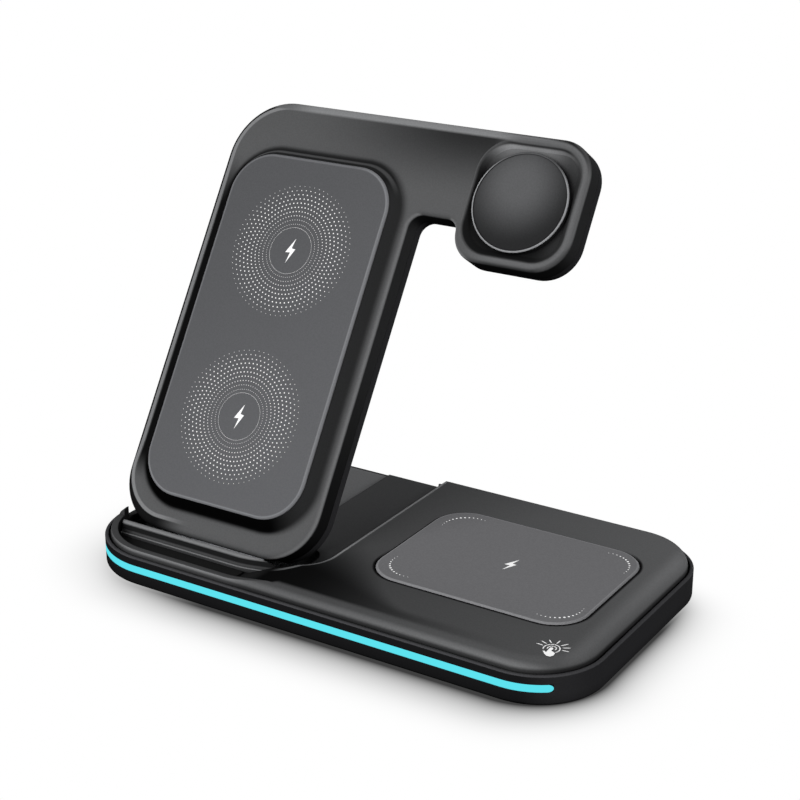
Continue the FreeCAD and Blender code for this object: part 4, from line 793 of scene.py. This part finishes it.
def wall_shade_group():
    """Painted light and shade of the dark walls: lighter on upward rims and right sides, and on the hidden back
    and underside.
    """
    group, graph, _, given = new_group("wall_shade", {}, {"Lit": "Float"})
    aside, back, out = graph.parts(graph.node("ShaderNodeTexCoord").outputs["Normal"])
    seen = graph.most(
        graph.ramp(out, *WALL_UP_FACING, 1.0, WALL_UP_SHADE),
        graph.ramp(aside, *WALL_RIGHT_FACING, 1.0, WALL_RIGHT_SHADE),
    )
    hidden = graph.most(
        graph.ramp(back, *WALL_BACK_FACING, 1.0, WALL_HIDDEN_SHADE),
        graph.ramp(out, *WALL_UNDER_FACING, WALL_HIDDEN_SHADE, 1.0),
    )
    graph.feed(given["Lit"], graph.most(seen, hidden))
    return group


def winding_group(node, face, frame):
    """Turns of a coil's wire: a painted highlight on each turn, painted shade between the turns."""
    group, graph, _, given = new_group(node + "_winding", {}, {"Lit": "Float"})
    low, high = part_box(node)
    middle = frame.inverted() @ ((low + high) / 2) / MM
    off = graph.vector("SUBTRACT", graph.group(face)["Place"], (middle.x, middle.y, 0))
    turns = graph.math("DIVIDE", graph.flat_length(off), WIRE_PITCH)
    crown = graph.apart(graph.math("FRACT", turns), 0.5)
    graph.feed(given["Lit"], graph.ramp(crown, *WIRE_EDGE, 1.0, WIRE_GAP_SHADE))
    return group


def plain_finish(name, surface, look, shade=None, sizes=None):
    """A finish with fine grain: painted shade darkens its colour in crevices, and the shade group of its piece
    paints light and shade on it.
    """
    colour, roughness = look
    finish = bpy.data.materials.new(name)
    finish.use_nodes = True
    shader = finish.node_tree.nodes["Principled BSDF"]
    shader.inputs["Base Color"].default_value = (*colour, 1)
    shader.inputs["Roughness"].default_value = roughness
    shader.inputs["Specular IOR Level"].default_value = SPECULAR_LEVEL
    graph = Graph(finish.node_tree)
    found = graph.group(surface, **{**PLAIN_SURFACE, **(sizes or {})})
    # Painted shade in crevices, times the grain's own tone.
    share = graph.blend(found["Open"], CREVICE_SHADE, graph.blend(found["Grain"], *GRAIN_SHADES))
    if shade:
        share = graph.times(share, graph.group(shade)["Lit"])
    rough = graph.blend(found["Grain"], roughness - GRAIN_ROUGHNESS, roughness + GRAIN_ROUGHNESS)
    graph.feed(shader.inputs["Base Color"], graph.vector("SCALE", colour, share))
    graph.feed(shader.inputs["Roughness"], rough)
    graph.feed(shader.inputs["Normal"], found["Normal"])
    return finish, shader


def metal_finish(name, surface, look, shade=None):
    """Bare metal with the same fine grain."""
    finish, shader = plain_finish(name, surface, look, shade, METAL_SURFACE)
    shader.inputs["Metallic"].default_value = 1
    return finish


def glowing_finish(name, surface, look, glow, strength):
    """A finish that gives off light by itself: the strip's own glow, and painted light on the ink."""
    finish, shader = plain_finish(name, surface, look)
    shader.inputs["Emission Color"].default_value = (*glow, 1)
    shader.inputs["Emission Strength"].default_value = strength
    return finish


def make_finishes(record, plate):
    """The finish of each material slot, those of single pieces and the ink."""
    surface = surface_group()
    stand_face = face_group("stand_face", *row_mount(record, "phone_face"))
    base_face = face_group("base_face", *row_mount(record, "earbud_face"))
    shades = {
        "stand": stand_shade_group(stand_face, plate),
        "disc": disc_shade_group(stand_face, plate),
        "phone_pad": phone_pad_shade_group(stand_face, plate),
        "earbud_pad": earbud_pad_shade_group(base_face, plate),
        "cover": cover_shade_group(base_face, plate),
        "ledge": ledge_shade_group(),
        "wall": wall_shade_group(),
    }
    made = {}
    for name, look in FINISHES.items():
        sizes = OWN_SURFACES.get(name)
        made[name], _ = plain_finish(name + "_finish", surface, look, shades.get(name), sizes)
    made["steel"] = metal_finish("steel_finish", surface, STEEL)
    faces = {"phone_face": stand_face, "earbud_face": base_face}
    for node, mount in COIL_MOUNTS.items():
        winding = winding_group(node, faces[mount], face_frame(*row_mount(record, mount)))
        made[node] = metal_finish(node + "_finish", surface, COPPER, winding)
    made["strip"] = glowing_finish("strip_finish", surface, STRIP, STRIP_GLOW, STRIP_STRENGTH)
    # The ink's glow is painted light that keeps the print white.
    made["ink"] = glowing_finish("white_ink", surface, INK, INK_PAINTED_GLOW, INK_PAINTED_GLOW_STRENGTH)
    return made


def dress_nodes(frame, finishes):
    """Gives every CAD node its own finish, or that of its slot in the record."""
    for part in frame["record"]["subparts"]:
        node = frame["nodes"][part["node"]]
        node.data.materials.clear()
        finish = NODE_FINISHES.get(part["node"], part["material_slot"])
        node.data.materials.append(finishes[finish])


def phone_halo(ink, cy):
    """One charging halo of the phone pad: rings of dots, a thin ring and a bolt."""
    for ring, dot in enumerate(HALO_DOT_RADII):
        radius = HALO_OUTER - HALO_STEP * ring
        for k in range(HALO_DOTS):
            turn = FULL_TURN * (k + ring % 2 / 2) / HALO_DOTS
            ink.dot(HALO_SHIFT + radius * math.cos(turn), cy + radius * math.sin(turn), dot, HALO_DOT_SIDES)
    inner, outer = HALO_RING - HALO_RING_WIDTH / 2, HALO_RING + HALO_RING_WIDTH / 2
    steps = [FULL_TURN * k / HALO_RING_SIDES for k in range(HALO_RING_SIDES + 1)]
    for a, b in zip(steps, steps[1:]):
        corners = ((inner, a), (outer, a), (outer, b), (inner, b))
        ink.area([(HALO_SHIFT + r * math.cos(t), cy + r * math.sin(t)) for r, t in corners])
    ink.area([(HALO_SHIFT + x, cy + y) for x, y in BOLT])


def phone_pad_print(record, finishes):
    """Both halos of the phone pad."""
    ink = Print()
    for cy in HALO_OFFSETS:
        phone_halo(ink, cy)
    ink.piece("phone_pad_print", face_frame(*row_mount(record, "phone_face")), finishes["ink"], "stand")


def earbud_pad_print(record, finishes):
    """The bolt and the four dotted corners of the earbud pad, whose dots are largest in the middle."""
    ink = Print()
    bolt_x, bolt_y = EARBUD_BOLT_CENTRE
    ink.area([(bolt_x + x, bolt_y + y) for x, y in BOLT])
    arc_x, arc_y = EARBUD_ARC_CENTRE
    for side_x in (1, -1):
        for side_y in (1, -1):
            for k in range(EARBUD_ARC_DOTS):
                off = k - (EARBUD_ARC_DOTS - 1) / 2
                turn = math.radians(EARBUD_ARC_MIDDLE + off * EARBUD_ARC_STEP)
                share = 1 - abs(off) / (EARBUD_ARC_DOTS / 2)
                radius = EARBUD_DOT_SMALL + (EARBUD_DOT_LARGE - EARBUD_DOT_SMALL) * share
                x = arc_x + EARBUD_ARC_RADIUS * math.cos(turn)
                y = arc_y + EARBUD_ARC_RADIUS * math.sin(turn)
                ink.dot(EARBUD_ARC_SHIFT + side_x * x, side_y * y, radius, EARBUD_DOT_SIDES)
    ink.piece("earbud_pad_print", face_frame(*row_mount(record, "earbud_face")), finishes["ink"], "base")


def touch_icon(record, finishes):
    """The sign of the touch key: a fingertip under a dome with rays."""
    ink = Print()
    for line in (*TOUCH_RAYS, TOUCH_DOME, TOUCH_ARC):
        ink.stroke(line, TOUCH_LINE)
    ink.area(TOUCH_HAND)
    shift = row_mount(record, "earbud_face")[0].y + TOUCH_SHIFT * MM
    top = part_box("base_top_cover")[1].z
    matrix = Matrix.Translation((0, shift, top + PRINT_LIFT))
    ink.piece("touch_icon", matrix, finishes["ink"], "base")


def background_share(graph):
    """1 for the rays that see the white background: the camera's, and those off metal or through glass."""
    rays = graph.node("ShaderNodeLightPath").outputs
    return graph.most(rays["Is Camera Ray"], graph.most(rays["Is Glossy Ray"], rays["Is Transmission Ray"]))


def studio_world():
    """White as a background, dim to the light that falls on the object."""
    world = bpy.data.worlds.new("studio_world")
    bpy.context.scene.world = world
    world.use_nodes = True
    graph = Graph(world.node_tree)
    graph.tree.nodes.clear()
    both = graph.node("ShaderNodeMixShader")
    graph.feed(both.inputs["Fac"], background_share(graph))
    for socket, strength in ((1, WORLD_LIGHT), (2, 1.0)):
        white = graph.node("ShaderNodeBackground")
        white.inputs["Color"].default_value = (1, 1, 1, 1)
        white.inputs["Strength"].default_value = strength
        graph.feed(both.inputs[socket], white.outputs["Background"])
    graph.feed(graph.node("ShaderNodeOutputWorld").inputs["Surface"], both.outputs["Shader"])


def floor_light(graph, plate):
    """Light of the floor: white, less the soft contact shadow round the base."""
    place = graph.vector("SCALE", graph.node("ShaderNodeTexCoord").outputs["Object"], 1 / MM)
    low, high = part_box("base_bottom_shell")
    middle = (low + high) / 2 / MM
    from_base = graph.vector("SUBTRACT", place, (middle.x, middle.y, 0))
    off = plate_distance(graph, plate, from_base, BASE_PLATE)
    x, y, _ = graph.parts(place)
    far = graph.math("DIVIDE", graph.most(off, 0.0), graph.ramp(x, *SHADOW_RIGHT, *SHADOW_REACH))
    fading = graph.math("POWER", 1 / math.e, far)
    depth = graph.times(graph.ramp(x, *SHADOW_LEFT, *SHADOW_DEPTH), graph.fall(y, *SHADOW_BACK))
    shadow = graph.times(fading, graph.ramp(off, *SHADOW_END, depth, 0.0))
    return graph.math("SUBTRACT", 1.0, shadow)


def studio_floor(plate):
    """A floor that is white as a background and dark to the light that falls on the object."""
    mesh = bpy.data.meshes.new("floor")
    corners = [(FLOOR_REACH * x, FLOOR_REACH * y, 0) for x, y in ((-1, -1), (1, -1), (1, 1), (-1, 1))]
    mesh.from_pydata(corners, [], [(0, 1, 2, 3)])
    floor = bpy.data.objects.new("floor", mesh)
    bpy.context.scene.collection.objects.link(floor)
    finish = bpy.data.materials.new("floor_finish")
    finish.use_nodes = True
    graph = Graph(finish.node_tree)
    graph.tree.nodes.clear()
    white = graph.node("ShaderNodeEmission")
    graph.feed(white.inputs["Color"], floor_light(graph, plate))
    dark = graph.node("ShaderNodeBsdfDiffuse")
    dark.inputs["Color"].default_value = (*FLOOR_BOUNCE, 1)
    both = graph.node("ShaderNodeMixShader")
    graph.feed(both.inputs["Fac"], background_share(graph))
    graph.feed(both.inputs[1], dark.outputs["BSDF"])
    graph.feed(both.inputs[2], white.outputs["Emission"])
    graph.feed(graph.node("ShaderNodeOutputMaterial").inputs["Surface"], both.outputs["Shader"])
    mesh.materials.append(finish)


def studio_lights():
    """Soft boxes, turned to their aims: key in front, one behind and above, one on the right, a low rear fill."""
    for name, (place, aim, size, power) in SOFT_BOXES.items():
        data = bpy.data.lights.new(name, "AREA")
        data.shape = "RECTANGLE"
        data.size, data.size_y = size
        data.energy = power
        lamp = bpy.data.objects.new(name, data)
        bpy.context.scene.collection.objects.link(lamp)
        lamp.location = place
        lamp.rotation_euler = (Vector(aim) - Vector(place)).to_track_quat("-Z", "Y").to_euler()


def photo_camera():
    """The photograph's view."""
    level = math.cos(CAMERA_DIP)
    forward = Vector((-math.sin(CAMERA_TURN) * level, math.cos(CAMERA_TURN) * level, -math.sin(CAMERA_DIP)))
    right = Vector((math.cos(CAMERA_TURN), math.sin(CAMERA_TURN), 0))
    up = right.cross(forward)
    data = bpy.data.cameras.new("camera")
    data.lens = CAMERA_LENS
    data.sensor_width = CAMERA_SENSOR
    data.clip_start = CAMERA_NEAR
    camera = bpy.data.objects.new("camera", data)
    bpy.context.scene.collection.objects.link(camera)
    turn = Matrix((right, up, -forward)).transposed().to_4x4()
    camera.matrix_world = Matrix.Translation(Vector(CAMERA_PLACE) * MM) @ turn
    bpy.context.scene.camera = camera


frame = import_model()
plate = plate_group()
finishes = make_finishes(frame["record"], plate)
dress_nodes(frame, finishes)
phone_pad_print(frame["record"], finishes)
earbud_pad_print(frame["record"], finishes)
touch_icon(frame["record"], finishes)
studio_world()
studio_floor(plate)
studio_lights()
photo_camera()
bpy.context.scene.view_settings.view_transform = "Standard"
